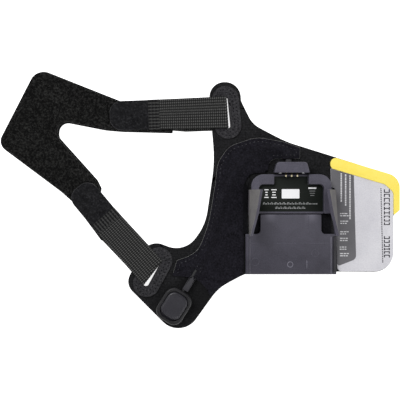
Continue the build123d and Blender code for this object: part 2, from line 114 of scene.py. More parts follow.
TABLE_SIZE = 3
bpy.ops.mesh.primitive_plane_add(size=TABLE_SIZE, location=(0, 0, -0.05 * MM))
table = bpy.context.object
table.name = "table"

# %% [markdown]
# ## Finishes
# A finish is a small node tree. Shader maths reads best as ordinary arithmetic, so a value from a node is
# wrapped in a class whose operators add the Math nodes, and a second class holds one finish's tree, its
# shader and one way of adding any other node. A colour is given as a paint chip's 0-255 values.

# %% Values and finishes
def connect(tree, entry, value):
    """Puts a number, a colour or another node's value into a socket."""
    if isinstance(value, Value):
        tree.links.new(value.socket, entry)
    else:
        entry.default_value = value


class Value:
    """A node's output that arithmetic works on."""

    def __init__(self, tree, socket):
        self.tree = tree
        self.socket = socket

    def math(self, operation, first, second=0.0):
        step = self.tree.nodes.new("ShaderNodeMath")
        step.operation = operation
        connect(self.tree, step.inputs[0], first)
        connect(self.tree, step.inputs[1], second)
        return Value(self.tree, step.outputs[0])

    def __add__(self, other):
        return self.math("ADD", self, other)

    def __radd__(self, other):
        return self.math("ADD", other, self)

    def __sub__(self, other):
        return self.math("SUBTRACT", self, other)

    def __rsub__(self, other):
        return self.math("SUBTRACT", other, self)

    def __mul__(self, other):
        return self.math("MULTIPLY", self, other)

    def __rmul__(self, other):
        return self.math("MULTIPLY", other, self)

    def __pow__(self, other):
        return self.math("POWER", self, other)

    def over(self, level):
        return self.math("GREATER_THAN", self, level)

    def wave(self, pitch, shift=0.0):
        """Goes up and down between 0 and 1 once in each pitch."""
        return self.math("SINE", self * (2 * math.pi / pitch) + shift) * 0.5 + 0.5


def tone(red, green, blue):
    """A paint chip's colour as the linear colour that a shader wants."""
    chip = [v / 255 for v in (red, green, blue)]
    return (*[v / 12.92 if v <= 0.04045 else ((v + 0.055) / 1.055) ** 2.4 for v in chip], 1)


class Finish:
    """One material: its node tree, its shader, and short ways to add what it needs."""

    def __init__(self, name, colour, roughness, specular=0.5, **more):
        self.material = bpy.data.materials.new(name)
        self.material.use_nodes = True
        self.tree = self.material.node_tree
        self.shader = self.tree.nodes["Principled BSDF"]
        self.set("Base Color", colour)
        self.set("Roughness", roughness)
        self.set("Specular IOR Level", specular)
        for socket, value in more.items():
            self.set(socket.replace("_", " "), value)

    def set(self, socket, value):
        connect(self.tree, self.shader.inputs[socket], value)

    def node(self, kind, settings, sockets, out=0):
        """Adds any node: its settings first, then the values or links of its sockets."""
        made = self.tree.nodes.new(kind)
        for setting, value in settings.items():
            setattr(made, setting, value)
        for socket, value in sockets.items():
            connect(self.tree, made.inputs[socket], value)
        return Value(self.tree, made.outputs[out])

    def place(self, turn=0.0, stretch=(1, 1, 1)):
        """Object coordinates, turned and stretched."""
        own = self.node("ShaderNodeTexCoord", {}, {}, "Object")
        sockets = {"Vector": own, "Rotation": (0, 0, turn), "Scale": stretch}
        return self.node("ShaderNodeMapping", {}, sockets)

    def axis(self, vector, letter):
        return self.node("ShaderNodeSeparateXYZ", {}, {"Vector": vector}, letter)

    def clouds(self, size, detail=2.0, vector=None):
        """Noise between 0 and 1 whose blots are about that large."""
        sockets = {"Vector": vector or self.place(), "Scale": 1 / size, "Detail": detail}
        return self.node("ShaderNodeTexNoise", {}, sockets, "Fac")

    def cells(self, size, vector=None, randomness=1.0):
        """The distance to the middle of the nearest cell."""
        sockets = {"Vector": vector or self.place(), "Scale": 1 / size, "Randomness": randomness}
        return self.node("ShaderNodeTexVoronoi", {}, sockets, "Distance")

    def between(self, value, low, high):
        """Stretches low to high over 0 to 1 and keeps it there."""
        sockets = {"Value": value, "From Min": low, "From Max": high}
        return self.node("ShaderNodeMapRange", {}, sockets)

    def mixed(self, share, first, second):
        """A colour between two others."""
        made = self.tree.nodes.new("ShaderNodeMix")
        made.data_type = "RGBA"
        connect(self.tree, made.inputs["Factor"], share)
        connect(self.tree, made.inputs[6], first)
        connect(self.tree, made.inputs[7], second)
        return Value(self.tree, made.outputs[2])

    def relief(self, height, depth, strength=1.0):
        """Bumps of that depth."""
        sockets = {"Height": height, "Distance": depth, "Strength": strength}
        self.set("Normal", self.node("ShaderNodeBump", {}, sockets))


table_finish = Finish("table_white", (0.94, 0.94, 0.94, 1), 0.9, 0.0, Emission_Color=(1, 1, 1, 1),
                      Emission_Strength=0.85)
table_finish.set("Base Color", table_finish.mixed(table_finish.clouds(0.2), tone(248, 248, 248),
                                                  tone(252, 252, 252)))
table.data.materials.append(table_finish.material)

# %% [markdown]
# The panel is a warp-knit face laminated to foam. Seen close, it is a close grid of loops with odd paler
# fibres in it, so two waves across each other make the loops, a fine noise roughens them and a coarse one
# lets the black drift a little. Beside the trigger the knit is painted darker, a painted shade beside the
# cover's thick edge. The cover and the patches are microfibre: a fine short nap with no grid.

# %% Panel, lining, cover and patch cloth
def knit(name, dark, light, loop, turn=0.0, rough=0.9, shaded_at=None):
    """A grid of loops, with a painted shade round a given point."""
    finish = Finish(name, dark, rough, 0.06, Sheen_Weight=0.05, Sheen_Roughness=0.6)
    place = finish.place(turn)
    loops = finish.axis(place, "X").wave(loop) * finish.axis(place, "Y").wave(loop * 1.3)
    grain = finish.clouds(loop * 1.3, 3.0, place)
    drift = finish.clouds(14 * MM, 2.0)
    fibres = finish.between(finish.clouds(loop * 1.4, 1.0, finish.place(turn, (1, 0.35, 1))), 0.60, 0.74)
    share = finish.between(grain * 0.9 + loops * 0.2 + drift * 0.3, 0.45, 0.85)
    weave = share * 0.75 + fibres * 0.5
    # Painted shade: the knit is darkened round this point.
    if shaded_at:
        aside = finish.axis(finish.place(), "X") - shaded_at[0]
        down = finish.axis(finish.place(), "Y") - shaded_at[1]
        weave = weave * (finish.between((aside * aside + down * down) ** 0.5, 9 * MM, 15 * MM) * 0.65 + 0.35)
    finish.set("Base Color", finish.mixed(weave, dark, light))
    finish.relief(loops * 0.5 + grain * 0.9, 0.22 * MM)
    return finish.material


def microfibre(name, dark, light, grain_size, nap=0.2 * MM):
    finish = Finish(name, dark, 0.92, 0.06, Sheen_Weight=0.06, Sheen_Roughness=0.5)
    grain = finish.clouds(grain_size, 3.0)
    blots = finish.clouds(5 * MM, 3.0)
    specks = finish.between(finish.clouds(0.9 * MM, 1.0), 0.60, 0.72)
    share = finish.between(grain * 0.9 + blots * 0.35, 0.42, 0.8)
    finish.set("Base Color", finish.mixed(share * 0.7 + specks * 0.6, dark, light))
    finish.relief(grain, nap)
    return finish.material


def spacer_mesh(name):
    """The skin side: a net of round holes over darker cloth."""
    finish = Finish(name, tone(34, 34, 36), 0.9, 0.12, Sheen_Weight=0.1)
    holes = finish.between(finish.cells(2.1 * MM, randomness=0.12), 0.28, 0.5)
    grain = finish.clouds(0.5 * MM, 3.0)
    finish.set("Base Color", finish.mixed(holes * 0.8 + grain * 0.2, tone(9, 9, 10), tone(46, 46, 48)))
    finish.relief(holes + grain * 0.3, 0.4 * MM)
    return finish.material


TRIGGER_LOW, TRIGGER_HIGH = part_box("trigger_bezel")
# The middle of the painted shade beside the trigger.
SHADE_MIDDLE = ((TRIGGER_LOW.x + TRIGGER_HIGH.x) / 2 + 14 * MM, (TRIGGER_LOW.y + TRIGGER_HIGH.y) / 2 + 7 * MM)
panel_cloth = knit("panel_knit", tone(12, 12, 13), tone(40, 40, 42), 0.7 * MM, shaded_at=SHADE_MIDDLE)
palm_cloth = knit("palm_knit", tone(8, 8, 8), tone(30, 30, 31), 0.8 * MM, 0.5)
lining_cloth = spacer_mesh("spacer_mesh")
cover_cloth = microfibre("cover_microfibre", tone(9, 8, 12), tone(36, 35, 42), 0.8 * MM)
# A paler cloth that paints the highlight on the cover's rim.
edge_highlight_cloth = microfibre("cover_edge_highlight", tone(84, 84, 84), tone(128, 128, 126), 0.5 * MM)
patch_cloth = microfibre("patch_microfibre", tone(26, 26, 28), tone(68, 67, 70), 0.8 * MM)
print("cloths:", panel_cloth.name, palm_cloth.name, lining_cloth.name, cover_cloth.name, patch_cloth.name)

# %% [markdown]
# The palm wrap's face is unbroken loop, brushed up into a deep nap. Its colour comes from light lost
# between the loops, so the hollows are nearly black and only the tips are grey. The tabs are faced with
# a plain brushed cloth. The elastic has its own lengthwise and crosswise measures, `along` and `across`,
# written on the mesh, because its pattern has to follow it round the fold.

# %% Pile, tab and elastic
RIB_COUNT = 11
BEAD = 1.1 * MM
SEWN_PHASE = -0.6


def loop_pile(name):
    finish = Finish(name, tone(14, 14, 14), 0.95, 0.05, Sheen_Weight=0.15, Sheen_Roughness=0.45)
    tufts = finish.clouds(1.15 * MM, 4.0)
    fine = finish.clouds(0.6 * MM, 2.0)
    drift = finish.clouds(9 * MM, 2.0)
    tips = finish.between(tufts + (fine - 0.5) * 0.5 + (drift - 0.5) * 0.15, 0.44, 0.74)
    finish.set("Base Color", finish.mixed(tips, tone(8, 8, 8), tone(45, 45, 44)))
    finish.relief(tufts + fine * 0.4, 0.6 * MM)
    return finish.material


def elastic(name):
    finish = Finish(name, tone(46, 46, 46), 0.8, 0.12, Sheen_Weight=0.05)
    across = finish.node("ShaderNodeAttribute", {"attribute_name": "across"}, {}, "Fac")
    along = finish.node("ShaderNodeAttribute", {"attribute_name": "along"}, {}, "Fac")
    plain = finish.node("ShaderNodeAttribute", {"attribute_name": "plain"}, {}, "Fac")
    ribs = across.wave(1 / RIB_COUNT, -math.pi / 2)
    knots = (ribs ** 0.7) * (along.wave(BEAD) * 0.95 + 0.05)
    grain = finish.clouds(0.6 * MM, 3.0)
    cells = across.wave(1 / 9, -math.pi / 2) * along.wave(1.75 * MM, SEWN_PHASE)
    sewn = finish.between(cells, 0.05, 0.4) * -0.36 + 0.36
    share = finish.between(knots * (1 - plain) + sewn * plain + (grain - 0.5) * 0.3, 0.03, 0.95)
    finish.set("Base Color", finish.mixed(share, tone(16, 16, 17), tone(90, 90, 89)))
    finish.relief(knots * (1 - plain) + grain * 0.3, 0.25 * MM)
    return finish.material


pile_cloth = loop_pile("loop_pile")
tab_cloth = microfibre("tab_cloth", tone(12, 12, 14), tone(40, 40, 42), 0.9 * MM, 0.12 * MM)
tab_edge_highlight = microfibre("tab_edge_highlight", tone(52, 52, 55), tone(84, 84, 86), 0.5 * MM)
elastic_cloth = elastic("ribbed_elastic")
thread_dark = microfibre("thread_dark", tone(5, 5, 9), tone(14, 14, 22), 0.3 * MM, 0.05 * MM)
thread_grey = microfibre("thread_grey", tone(52, 52, 56), tone(92, 92, 94), 0.3 * MM, 0.05 * MM)

# %% [markdown]
# The mouldings are glass-filled nylon, spark-textured: a violet grey with a fine even grain, a soft sheen
# and a slight cloudiness where the melt met. The films are printed: the label end is covered in tiny glass
# beads, which sparkle, and the print is satin. The trim is a matt yellow thermoplastic.

# %% Mouldings, films, metal and rubber
def moulding(name, dark, light, roughness=0.42, specular=0.35, texture=0.03 * MM):
    finish = Finish(name, dark, roughness, specular)
    cloud = finish.clouds(9 * MM, 3.0)
    grain = finish.clouds(0.7 * MM, 3.0)
    scuffs = finish.between(finish.clouds(1.6 * MM, 6.0, finish.place(0.6, (1, 0.12, 1))), 0.64, 0.8)
    finish.share = finish.between(cloud * 0.7 + grain * 0.6, 0.48, 0.82)
    finish.set("Base Color", finish.mixed(finish.share, dark, light))
    finish.set("Roughness", finish.between(grain * 0.5 + scuffs * 0.5, 0, 1) * 0.2 + roughness - 0.08)
    finish.relief(grain, texture)
    return finish


def painted_floor_highlight(finish, dark, light, highlight_colour):
    """The floor's finish: paler towards the back and at two spots on its upper edge, a painted highlight."""
    place = finish.place()
    back = finish.between(finish.axis(place, "Y"), -32 * MM, -8 * MM)
    aside = finish.axis(place, "X") - FLOOR_MIDDLE
    beside_spot = aside.math("ABSOLUTE", aside) - 11.5 * MM
    spots = finish.between(beside_spot.math("ABSOLUTE", beside_spot), 4.5 * MM, 0.5 * MM)
    last = finish.between(finish.axis(place, "Y"), -13 * MM, -8 * MM)
    # Painted highlight: the floor is lightened towards the back and at two spots along its upper edge.
    highlight_share = back * 0.25 + spots * last * 0.5
    finish.set("Base Color", finish.mixed(highlight_share, finish.mixed(finish.share, dark, light), highlight_colour))
    return finish


def beaded_film(name):
    finish = Finish(name, tone(208, 206, 210), 0.5, 0.4)
    beads = finish.clouds(0.45 * MM, 2.0)
    drift = finish.clouds(12 * MM, 2.0)
    share = finish.between(beads * 0.6 + drift * 0.5, 0.3, 0.85)
    finish.set("Base Color", finish.mixed(share, tone(190, 189, 196), tone(222, 221, 225)))
    finish.relief(finish.cells(0.3 * MM), 0.03 * MM)
    return finish.material


def satin(name, dark, light, roughness, grain_size=0.5 * MM, depth=0.02 * MM, specular=0.3, **more):
    """Rubber, ink, tape and jacket: an even colour with a fine tooth."""
    finish = Finish(name, dark, roughness, specular, **more)
    grain = finish.clouds(grain_size, 4.0)
    drift = finish.clouds(11 * MM, 2.0)
    share = finish.between(grain * 0.5 + drift * 0.6, 0.3, 0.8)
    finish.set("Base Color", finish.mixed(share, dark, light))
    finish.set("Roughness", grain * 0.15 + roughness - 0.07)
    finish.relief(grain, depth)
    return finish.material


def metal(name, dark, light, roughness, stretch=(1, 1, 1)):
    """Plated metal, with drawn lines where it is stretched."""
    finish = Finish(name, dark, roughness, 0.5, Metallic=1.0)
    lines = finish.clouds(0.3 * MM, 4.0, finish.place(0, stretch))
    finish.set("Base Color", finish.mixed(lines, dark, light))
    finish.set("Roughness", lines * 0.2 + roughness - 0.1)
    finish.relief(lines, 0.008 * MM)
    return finish.material


FLOOR_MIDDLE = (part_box("cradle_base")[0].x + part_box("cradle_base")[1].x) / 2
cradle_plastic = moulding("cradle_nylon", tone(66, 64, 75), tone(82, 80, 92)).material
# A paler nylon that paints highlights on the ejector ring, the floor rib and the rail lines.
highlight_plastic = moulding("highlight_nylon", tone(96, 94, 106), tone(122, 120, 132)).material
rail_shade_plastic = moulding("rail_shade_nylon", tone(34, 33, 37), tone(46, 45, 50)).material
floor_plastic = painted_floor_highlight(moulding("floor_nylon", tone(50, 48, 58), tone(66, 64, 75)), tone(48, 46, 56),
                       tone(64, 62, 73), tone(118, 116, 128)).material
arm_lit_plastic = moulding("arm_lit_nylon", tone(80, 78, 80), tone(98, 96, 95), 0.5).material
trigger_plastic = moulding("trigger_nylon", tone(20, 20, 22), tone(32, 31, 34), 0.45, 0.3).material
button_plastic = moulding("button_nylon", tone(36, 35, 41), tone(48, 47, 53), 0.4, 0.35, 0.008 * MM).material
switch_plastic = moulding("switch_nylon", tone(22, 22, 23), tone(34, 34, 35), 0.5).material
hook_plastic = moulding("hook_nylon", tone(16, 16, 17), tone(30, 30, 31), 0.5).material
# A near-black sheet for the painted shade under the cradle's edges.
shade_black = microfibre("painted_shade_sheet", tone(6, 6, 8), tone(20, 20, 24), 0.6 * MM)
rubber = satin("silicone", tone(40, 39, 44), tone(58, 57, 62), 0.6)
jacket = satin("cable_jacket", tone(28, 28, 30), tone(38, 38, 40), 0.5)
yellow = satin("yellow_tape", tone(247, 222, 84), tone(252, 234, 118), 0.55, 0.7 * MM, 0.03 * MM, 0.3)
silver_film = beaded_film("beaded_film")
grey_film = satin("grey_print", tone(88, 87, 91), tone(104, 103, 107), 0.5)
label_film = satin("label_film", tone(14, 18, 15), tone(23, 28, 24), 0.5, 0.6 * MM, 0.01 * MM, 0.15)
white_ink = satin("white_ink", tone(238, 238, 240), tone(250, 250, 251), 0.6)
print_ink = satin("print_ink", tone(196, 196, 199), tone(214, 214, 216), 0.6)
black_ink = satin("black_ink", tone(40, 38, 46), tone(58, 56, 64), 0.6)
pale_ink = satin("pale_ink", tone(120, 122, 122), tone(150, 152, 152), 0.6)
board_green = satin("board_laminate", tone(22, 78, 46), tone(34, 98, 60), 0.35, 0.6 * MM, 0.02 * MM, 0.5,
                    Coat_Weight=0.3)
zinc = metal("zinc_steel", tone(176, 178, 182), tone(206, 208, 212), 0.35, (1, 8, 1))
gold = metal("gold_plate", tone(226, 186, 96), tone(250, 220, 140), 0.25)


def lit_and_shaded_pin(name, dark, light, shank_shade, shoulder):
    """Pale gold at the pin's end, a painted highlight; the shank is painted dark, a painted shade under the
    block.
    """
    finish = Finish(name, light, 0.3, 0.5, Metallic=1.0)
    end = finish.between(finish.axis(finish.place(), "Y"), shoulder + 0.2 * MM, shoulder - 0.2 * MM)
    lines = finish.clouds(0.3 * MM, 3.0)
    finish.set("Base Color", finish.mixed(end, shank_shade, finish.mixed(lines, dark, light)))
    finish.relief(lines, 0.006 * MM)
    return finish.material


# The pins' shanks are painted dark as painted shade, and their ends pale as a painted highlight.
PIN_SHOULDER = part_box("contact_plunger_1")[0].y + 0.9 * MM
pin_metal = lit_and_shaded_pin("pin_metal", tone(250, 232, 180), tone(255, 250, 225), tone(40, 36, 30), PIN_SHOULDER)
spring_wire = metal("spring_wire", tone(188, 188, 190), tone(216, 216, 218), 0.3, (1, 10, 1))
print(len(bpy.data.materials), "finishes")

# %% [markdown]
# ## Bench tools
# Most pieces start from a merged copy of their CAD node, so their outlines need no fitting. A copy is
# opened in edit mode, its faces are picked by where they look, and it is finished with modifiers that are
# applied. These few tools keep the later cells short.

# %% Selecting, editing and finishing
def take(piece):
    """Leaves edit mode and selects one piece alone."""
    if bpy.context.object and bpy.context.object.mode != "OBJECT":
        bpy.ops.object.mode_set(mode="OBJECT")
    bpy.ops.object.select_all(action="DESELECT")
    piece.select_set(True)
    bpy.context.view_layer.objects.active = piece
    return piece


def choose(piece, test):
    """Opens a piece in edit mode with the faces selected that a test picks."""
    take(piece)
    bpy.ops.object.mode_set(mode="EDIT")
    bpy.ops.mesh.select_mode(type="FACE")
    bpy.ops.mesh.select_all(action="DESELECT")
    bpy.ops.object.mode_set(mode="OBJECT")
    for face in piece.data.polygons:
        face.select = test(face)
    bpy.ops.object.mode_set(mode="EDIT")


def tidy_mesh(piece, gap=0.005 * MM):
    """Merges doubles and dissolves the cuts across flat faces."""
    take(piece)
    bpy.ops.object.mode_set(mode="EDIT")
    bpy.ops.mesh.select_all(action="SELECT")
    bpy.ops.mesh.remove_doubles(threshold=gap)
    bpy.ops.mesh.dissolve_limited(angle_limit=math.radians(0.6))
    bpy.ops.object.mode_set(mode="OBJECT")


def copy_of(node, name):
    """A new piece that starts as a merged copy of a CAD node."""
    piece = bpy.data.objects.new(name, nodes[node].data.copy())
    bpy.context.collection.objects.link(piece)
    piece.data.materials.clear()
    take(piece)
    bpy.ops.mesh.customdata_custom_splitnormals_clear()
    tidy_mesh(piece)
    return piece


def work(piece, kind, **settings):
    """Adds a modifier with those settings and applies it."""
    take(piece)
    modifier = piece.modifiers.new(kind.lower(), kind)
    for setting, value in settings.items():
        setattr(modifier, setting, value)
    bpy.ops.object.modifier_apply(modifier=modifier.name)


def round_edges(piece, width, segments=3, over=30):
    """Rounds every edge that turns by more than an angle."""
    work(piece, "BEVEL", width=width, segments=segments, limit_method="ANGLE",
         angle_limit=math.radians(over), use_clamp_overlap=False, miter_outer="MITER_ARC")


def settle(piece, material, body, replaced=(), smooth=40):
    """Gives a finished piece its material, its shading and the body it rides on."""
    piece.data.materials.clear()
    piece.data.materials.append(material)
    take(piece)
    bpy.ops.object.shade_smooth_by_angle(angle=math.radians(smooth))
    if body:
        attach(piece, body)
    if replaced:
        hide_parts(*replaced)
    print(piece.name, len(piece.data.polygons), "faces")
    return piece


# %% [markdown]
# Cloth is cut flat. Only the upper faces of the CAD solid are kept, which gives the cutting outline; a
# grid of straight cuts then lets the sheet be shaped, and Solidify and Bevel give it its thickness and
# its soft cut edge. The rim's points are kept too, because every seam runs parallel to a rim.

# %% Cutting sheets
def rims_of(piece):
    """The closed rows of points round a flat sheet, the longest first."""
    mesh = bmesh.new()
    mesh.from_mesh(piece.data)
    left = {edge for edge in mesh.edges if edge.is_boundary}
    rims = []
    while left:
        edge = left.pop()
        first, here = edge.verts
        row = [first.co.copy(), here.co.copy()]
        while here is not first:
            edge = next(other for other in here.link_edges if other in left)
            left.remove(edge)
            here = edge.other_vert(here)
            row.append(here.co.copy())
        rims.append(numpy.array([(p.x, p.y) for p in row[:-1]]))
    mesh.free()
    return sorted(rims, key=lambda row: -numpy.linalg.norm(row - numpy.roll(row, 1, 0), axis=1).sum())


def lay_grid(piece, pitch):
    """Cuts a sheet by straight lines both ways, so that it can be shaped."""
    low = numpy.min([v.co for v in piece.data.vertices], axis=0)
    high = numpy.max([v.co for v in piece.data.vertices], axis=0)
    take(piece)
    bpy.ops.object.mode_set(mode="EDIT")
    for axis in (0, 1):
        normal = (1, 0, 0) if axis == 0 else (0, 1, 0)
        cuts = int((high[axis] - low[axis]) / pitch)
        for cut in range(1, cuts + 1):
            point = [0, 0, 0]
            point[axis] = low[axis] + (high[axis] - low[axis]) * cut / (cuts + 1)
            bpy.ops.mesh.select_all(action="SELECT")
            bpy.ops.mesh.bisect(plane_co=point, plane_no=normal, threshold=0.0001 * MM)
    bpy.ops.object.mode_set(mode="OBJECT")


def cut_sheet(node, name, level, thickness, pitch=None, shape=None, edge=0.3 * MM):
    """A sheet of cloth with a CAD node's outline. Gives the sheet, its rims and its flat area."""
    piece = copy_of(node, name)
    choose(piece, lambda face: face.normal.z < 0.5)
    bpy.ops.mesh.delete(type="FACE")
    bpy.ops.object.mode_set(mode="OBJECT")
    for corner in piece.data.vertices:
        corner.co.z = level
    tidy_mesh(piece, 0.02 * MM)
    rims = rims_of(piece)
    if pitch:
        lay_grid(piece, pitch)
    area = sum(face.area for face in piece.data.polygons)
    if shape:
        for corner in piece.data.vertices:
            corner.co.z += shape(corner.co)
    work(piece, "SOLIDIFY", thickness=thickness, offset=-1)
    if edge:
        round_edges(piece, edge, 3, 60)
    print(name, "rims:", len(rims), "flat area, cm2:", round(area * 1e4, 1))
    return piece, rims, area


# %% [markdown]
# A seam is a row of separate stitches. One stitch is modelled, a short low-sided capsule, and it is copied
# to every place along the seam. The places are evenly spaced on the line that lies a set distance inside
# a rim; where a rim bends in tightly, points that would come too near it are dropped.

# %% Sewing
def evenly(row, pitch, closed=True):
    """Points that far apart along a row, each with its direction."""
    loop = numpy.vstack([row, row[:1]]) if closed else row
    steps = numpy.linalg.norm(numpy.diff(loop, axis=0), axis=1)
    reach = numpy.concatenate([[0], numpy.cumsum(steps)])
    count = max(2, int(round(reach[-1] / pitch)))
    wanted = numpy.arange(count) * reach[-1] / count
    points = numpy.stack([numpy.interp(wanted, reach, loop[:, k]) for k in (0, 1)], axis=1)
    ahead = numpy.stack([numpy.interp((wanted + 0.2 * pitch) % reach[-1], reach, loop[:, k])
                         for k in (0, 1)], axis=1)
    turns = numpy.arctan2(*(ahead - points).T[::-1])
    return points, turns


def line_inside(rim, inset, pitch):
    """Evenly spaced places (x, y, angle) on the line that far inside a rim."""
    dense, turns = evenly(rim, 0.4 * MM)
    ahead = numpy.roll(dense, -3, 0) - numpy.roll(dense, 3, 0)
    ahead /= numpy.linalg.norm(ahead, axis=1)[:, None]
    x, y = rim.T
    way = numpy.sign(numpy.sum(x * numpy.roll(y, -1) - numpy.roll(x, -1) * y))
    inner = dense + way * inset * numpy.stack([-ahead[:, 1], ahead[:, 0]], axis=1)
    gaps = numpy.sqrt(((inner[:, None] - dense[None]) ** 2).sum(2)).min(1)
    points, turns = evenly(inner[gaps > 0.96 * inset], pitch)
    return [(p[0], p[1], turn) for p, turn in zip(points, turns)]


def copies(name, model, matrices):
    """One piece made of a copy of the model at each place; the model goes."""
    mesh = bmesh.new()
    for matrix in matrices:
        one = model.data.copy()
        one.transform(matrix)
        mesh.from_mesh(one)
        bpy.data.meshes.remove(one)
    made = bpy.data.meshes.new(name)
    mesh.to_mesh(made)
    mesh.free()
    bpy.data.objects.remove(model)
    piece = bpy.data.objects.new(name, made)
    bpy.context.collection.objects.link(piece)
    return piece


def sew(name, places, level, thread, body, length=1.3 * MM, width=0.42 * MM):
    """A row of stitches at (x, y, angle) places. level is a height or a function of the place."""
    bpy.ops.object.select_all(action="DESELECT")
    bpy.ops.mesh.primitive_uv_sphere_add(segments=8, ring_count=5, radius=0.5)
    model = bpy.context.object
    bpy.ops.transform.resize(value=(length, width, width * 0.8))
    bpy.ops.object.transform_apply(location=True, rotation=True, scale=True)
    matrices = []
    for x, y, turn in places:
        height = level(Vector((x, y, 0))) if callable(level) else level
        matrices.append(Matrix.Translation((x, y, height)) @ Matrix.Rotation(turn, 4, "Z"))
    piece = copies(name, model, matrices)
    return settle(piece, thread, body, smooth=60)


# %% [markdown]
# ## The back-of-hand panel
# One large die-cut piece with two strap slots. On the table it is not perfectly flat: handling has left
# slow swells a tenth of a millimetre or two high, which is what makes black cloth look like cloth. The
# lining is cut a little smaller and sewn to its skin side.

# %% Panel and lining
PANEL_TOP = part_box("back_panel")[1].z
PANEL_CLOTH = PANEL_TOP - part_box("back_panel")[0].z
LINING_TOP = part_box("inner_lining")[1].z


def swell(point):
    """The slow rise and fall of cloth that has been handled."""
    slow = noise.noise(Vector((point.x, point.y, 0)) * 38)
    quick = noise.noise(Vector((point.x, point.y, 0.05)) * 120)
    return (slow * 0.16 + quick * 0.05 - 0.06) * MM


panel, panel_rims, panel_area = cut_sheet("back_panel", "panel_cloth", PANEL_TOP, PANEL_CLOTH, 3.6 * MM,
                                          swell, 0.45 * MM)
settle(panel, panel_cloth, "root", ["back_panel"])

lining, lining_rims, lining_area = cut_sheet("inner_lining", "lining_cloth", LINING_TOP, LINING_TOP)
settle(lining, lining_cloth, "root", ["inner_lining"])
sew("lining_seam", line_inside(lining_rims[0], 1.6 * MM, 2.6 * MM), 0.0, thread_grey, "root",
    1.7 * MM, 0.3 * MM)

# %% [markdown]
# The cable cover is a single layer of microfibre, sewn down round its edge, and the cable lifts it into
# a soft ridge. The distance from any point to the cable's middle is found by asking the cable's own mesh
# for its nearest point, and the ridge falls away with that distance as a cosine does.

# %% Cable cover
COVER_TOP = PANEL_TOP + 0.8 * MM
RIDGE_REACH = 3.6 * MM
cable_low, cable_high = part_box("trigger_cable")
CABLE_RADIUS = (cable_high.z - cable_low.z) / 2
SEAM_END = -40 * MM
RIDGE_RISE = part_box("cable_cover")[1].z - COVER_TOP
cable_mesh = bmesh.new()
cable_mesh.from_mesh(nodes["trigger_cable"].data)
cable_tree = BVHTree.FromBMesh(cable_mesh)
ABOVE = 2 * CABLE_RADIUS


def ridge(point):
    """How far the cable lifts the cover there."""
    probe = Vector((point.x, point.y, (cable_low.z + cable_high.z) / 2 + ABOVE))
    nearest = cable_tree.find_nearest(probe)[3]
    aside = math.sqrt(max(0, (nearest + CABLE_RADIUS) ** 2 - ABOVE ** 2))
    share = min(1, aside / RIDGE_REACH)
    ripple = noise.noise(Vector((point.x, point.y, 0)) * 160) * 0.1 * MM
    return RIDGE_RISE * 0.5 * (1 + math.cos(math.pi * share)) + ripple - 0.05 * MM


cover, cover_rims, cover_area = cut_sheet("cable_cover", "cover_cloth", COVER_TOP, 0.8 * MM, 1.2 * MM,
                                          ridge, 0.32 * MM)
settle(cover, cover_cloth, "root", ["cable_cover"])
cover.data.materials.append(edge_highlight_cloth)
# Rim faces on the left and upper edges get the paler cloth: a painted highlight where the light catches the
# edge.
for face in cover.data.polygons:
    beside_cable = ridge(face.center) > 0.25 * MM
    at_rim = 0.2 < face.normal.z < 0.93 and face.area < 1.5 * MM * MM and not beside_cable
    if at_rim and face.center.y > SEAM_END and (face.center.x < 20 * MM or face.center.y > 20 * MM):
        face.material_index = 1
seam = [place for place in line_inside(cover_rims[0], 2.1 * MM, 2.3 * MM)
        if place[1] > SEAM_END and (place[0] < 20 * MM or place[1] > 24 * MM)]
sew("cover_seam", seam, lambda p: COVER_TOP + ridge(p), thread_grey, "root",
    1.0 * MM, 0.3 * MM)
cable_mesh.free()

# %% [markdown]
# Each strap slot is cut through a stadium-shaped patch, which is sewn down twice round. Its needle holes
# show as two rows of small dark dents.

# %% Slot patches
PATCH_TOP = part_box("upper_slot_patch")[1].z
for side in ("upper", "lower"):
    node = f"{side}_slot_patch"
    patch, patch_rims, patch_area = cut_sheet(node, f"{side}_patch_cloth", PATCH_TOP, PATCH_TOP - PANEL_TOP,
                                              2 * MM, lambda p: swell(p * 2) * 0.6, 0.3 * MM)
    settle(patch, patch_cloth, "root", [node])
    for row, inset in (("outer", 1.7 * MM), ("inner", 3.6 * MM)):
        sew(f"{side}_patch_seam_{row}", line_inside(patch_rims[0], inset, 2.0 * MM), PATCH_TOP, thread_dark,
            "root", 0.9 * MM, 0.5 * MM)

# %% [markdown]
# ## The label end
# A reflective patch covers the end of the panel, a printed film covers part of that, and a yellow tape
# trims the upper edge. They are thin and lie flat, so a copy of each CAD solid with softened edges is all
# their shape. The printing is generic: rows of bars where a maker would put lettering and marks.

# %% Reflective patch, print and trim
for node, name, finish, slot, edge in (
    ("reflective_patch", "silver_patch", silver_film, "reflective_film", 0.12 * MM),
    ("print_panel", "grey_print", grey_film, "print_film", 0.02 * MM),
    ("yellow_trim", "trim_tape", yellow, "yellow_tape", 0.16 * MM),
):
    film = copy_of(node, name)
    round_edges(film, edge, 3, 50)
    settle(film, finish, "root", [node])


def print_bars(name, bars, level, ink, body="root"):
    """Printed bars, each (x, y, width, height): one rounded bar is modelled and copied to size."""
    bpy.ops.object.select_all(action="DESELECT")
    bpy.ops.mesh.primitive_plane_add(size=1)
    model = bpy.context.object
    bpy.ops.object.mode_set(mode="EDIT")
    bpy.ops.mesh.bevel(offset=0.05, segments=2, affect="VERTICES")
    bpy.ops.mesh.select_all(action="SELECT")
    bpy.ops.mesh.extrude_region_move(TRANSFORM_OT_translate={"value": (0, 0, 0.03 * MM)})
    bpy.ops.object.mode_set(mode="OBJECT")
    matrices = [Matrix.Translation((x, y, level)) @ Matrix.Diagonal((w, h, 1, 1)) for x, y, w, h in bars]
    return settle(copies(name, model, matrices), ink, body, smooth=20)


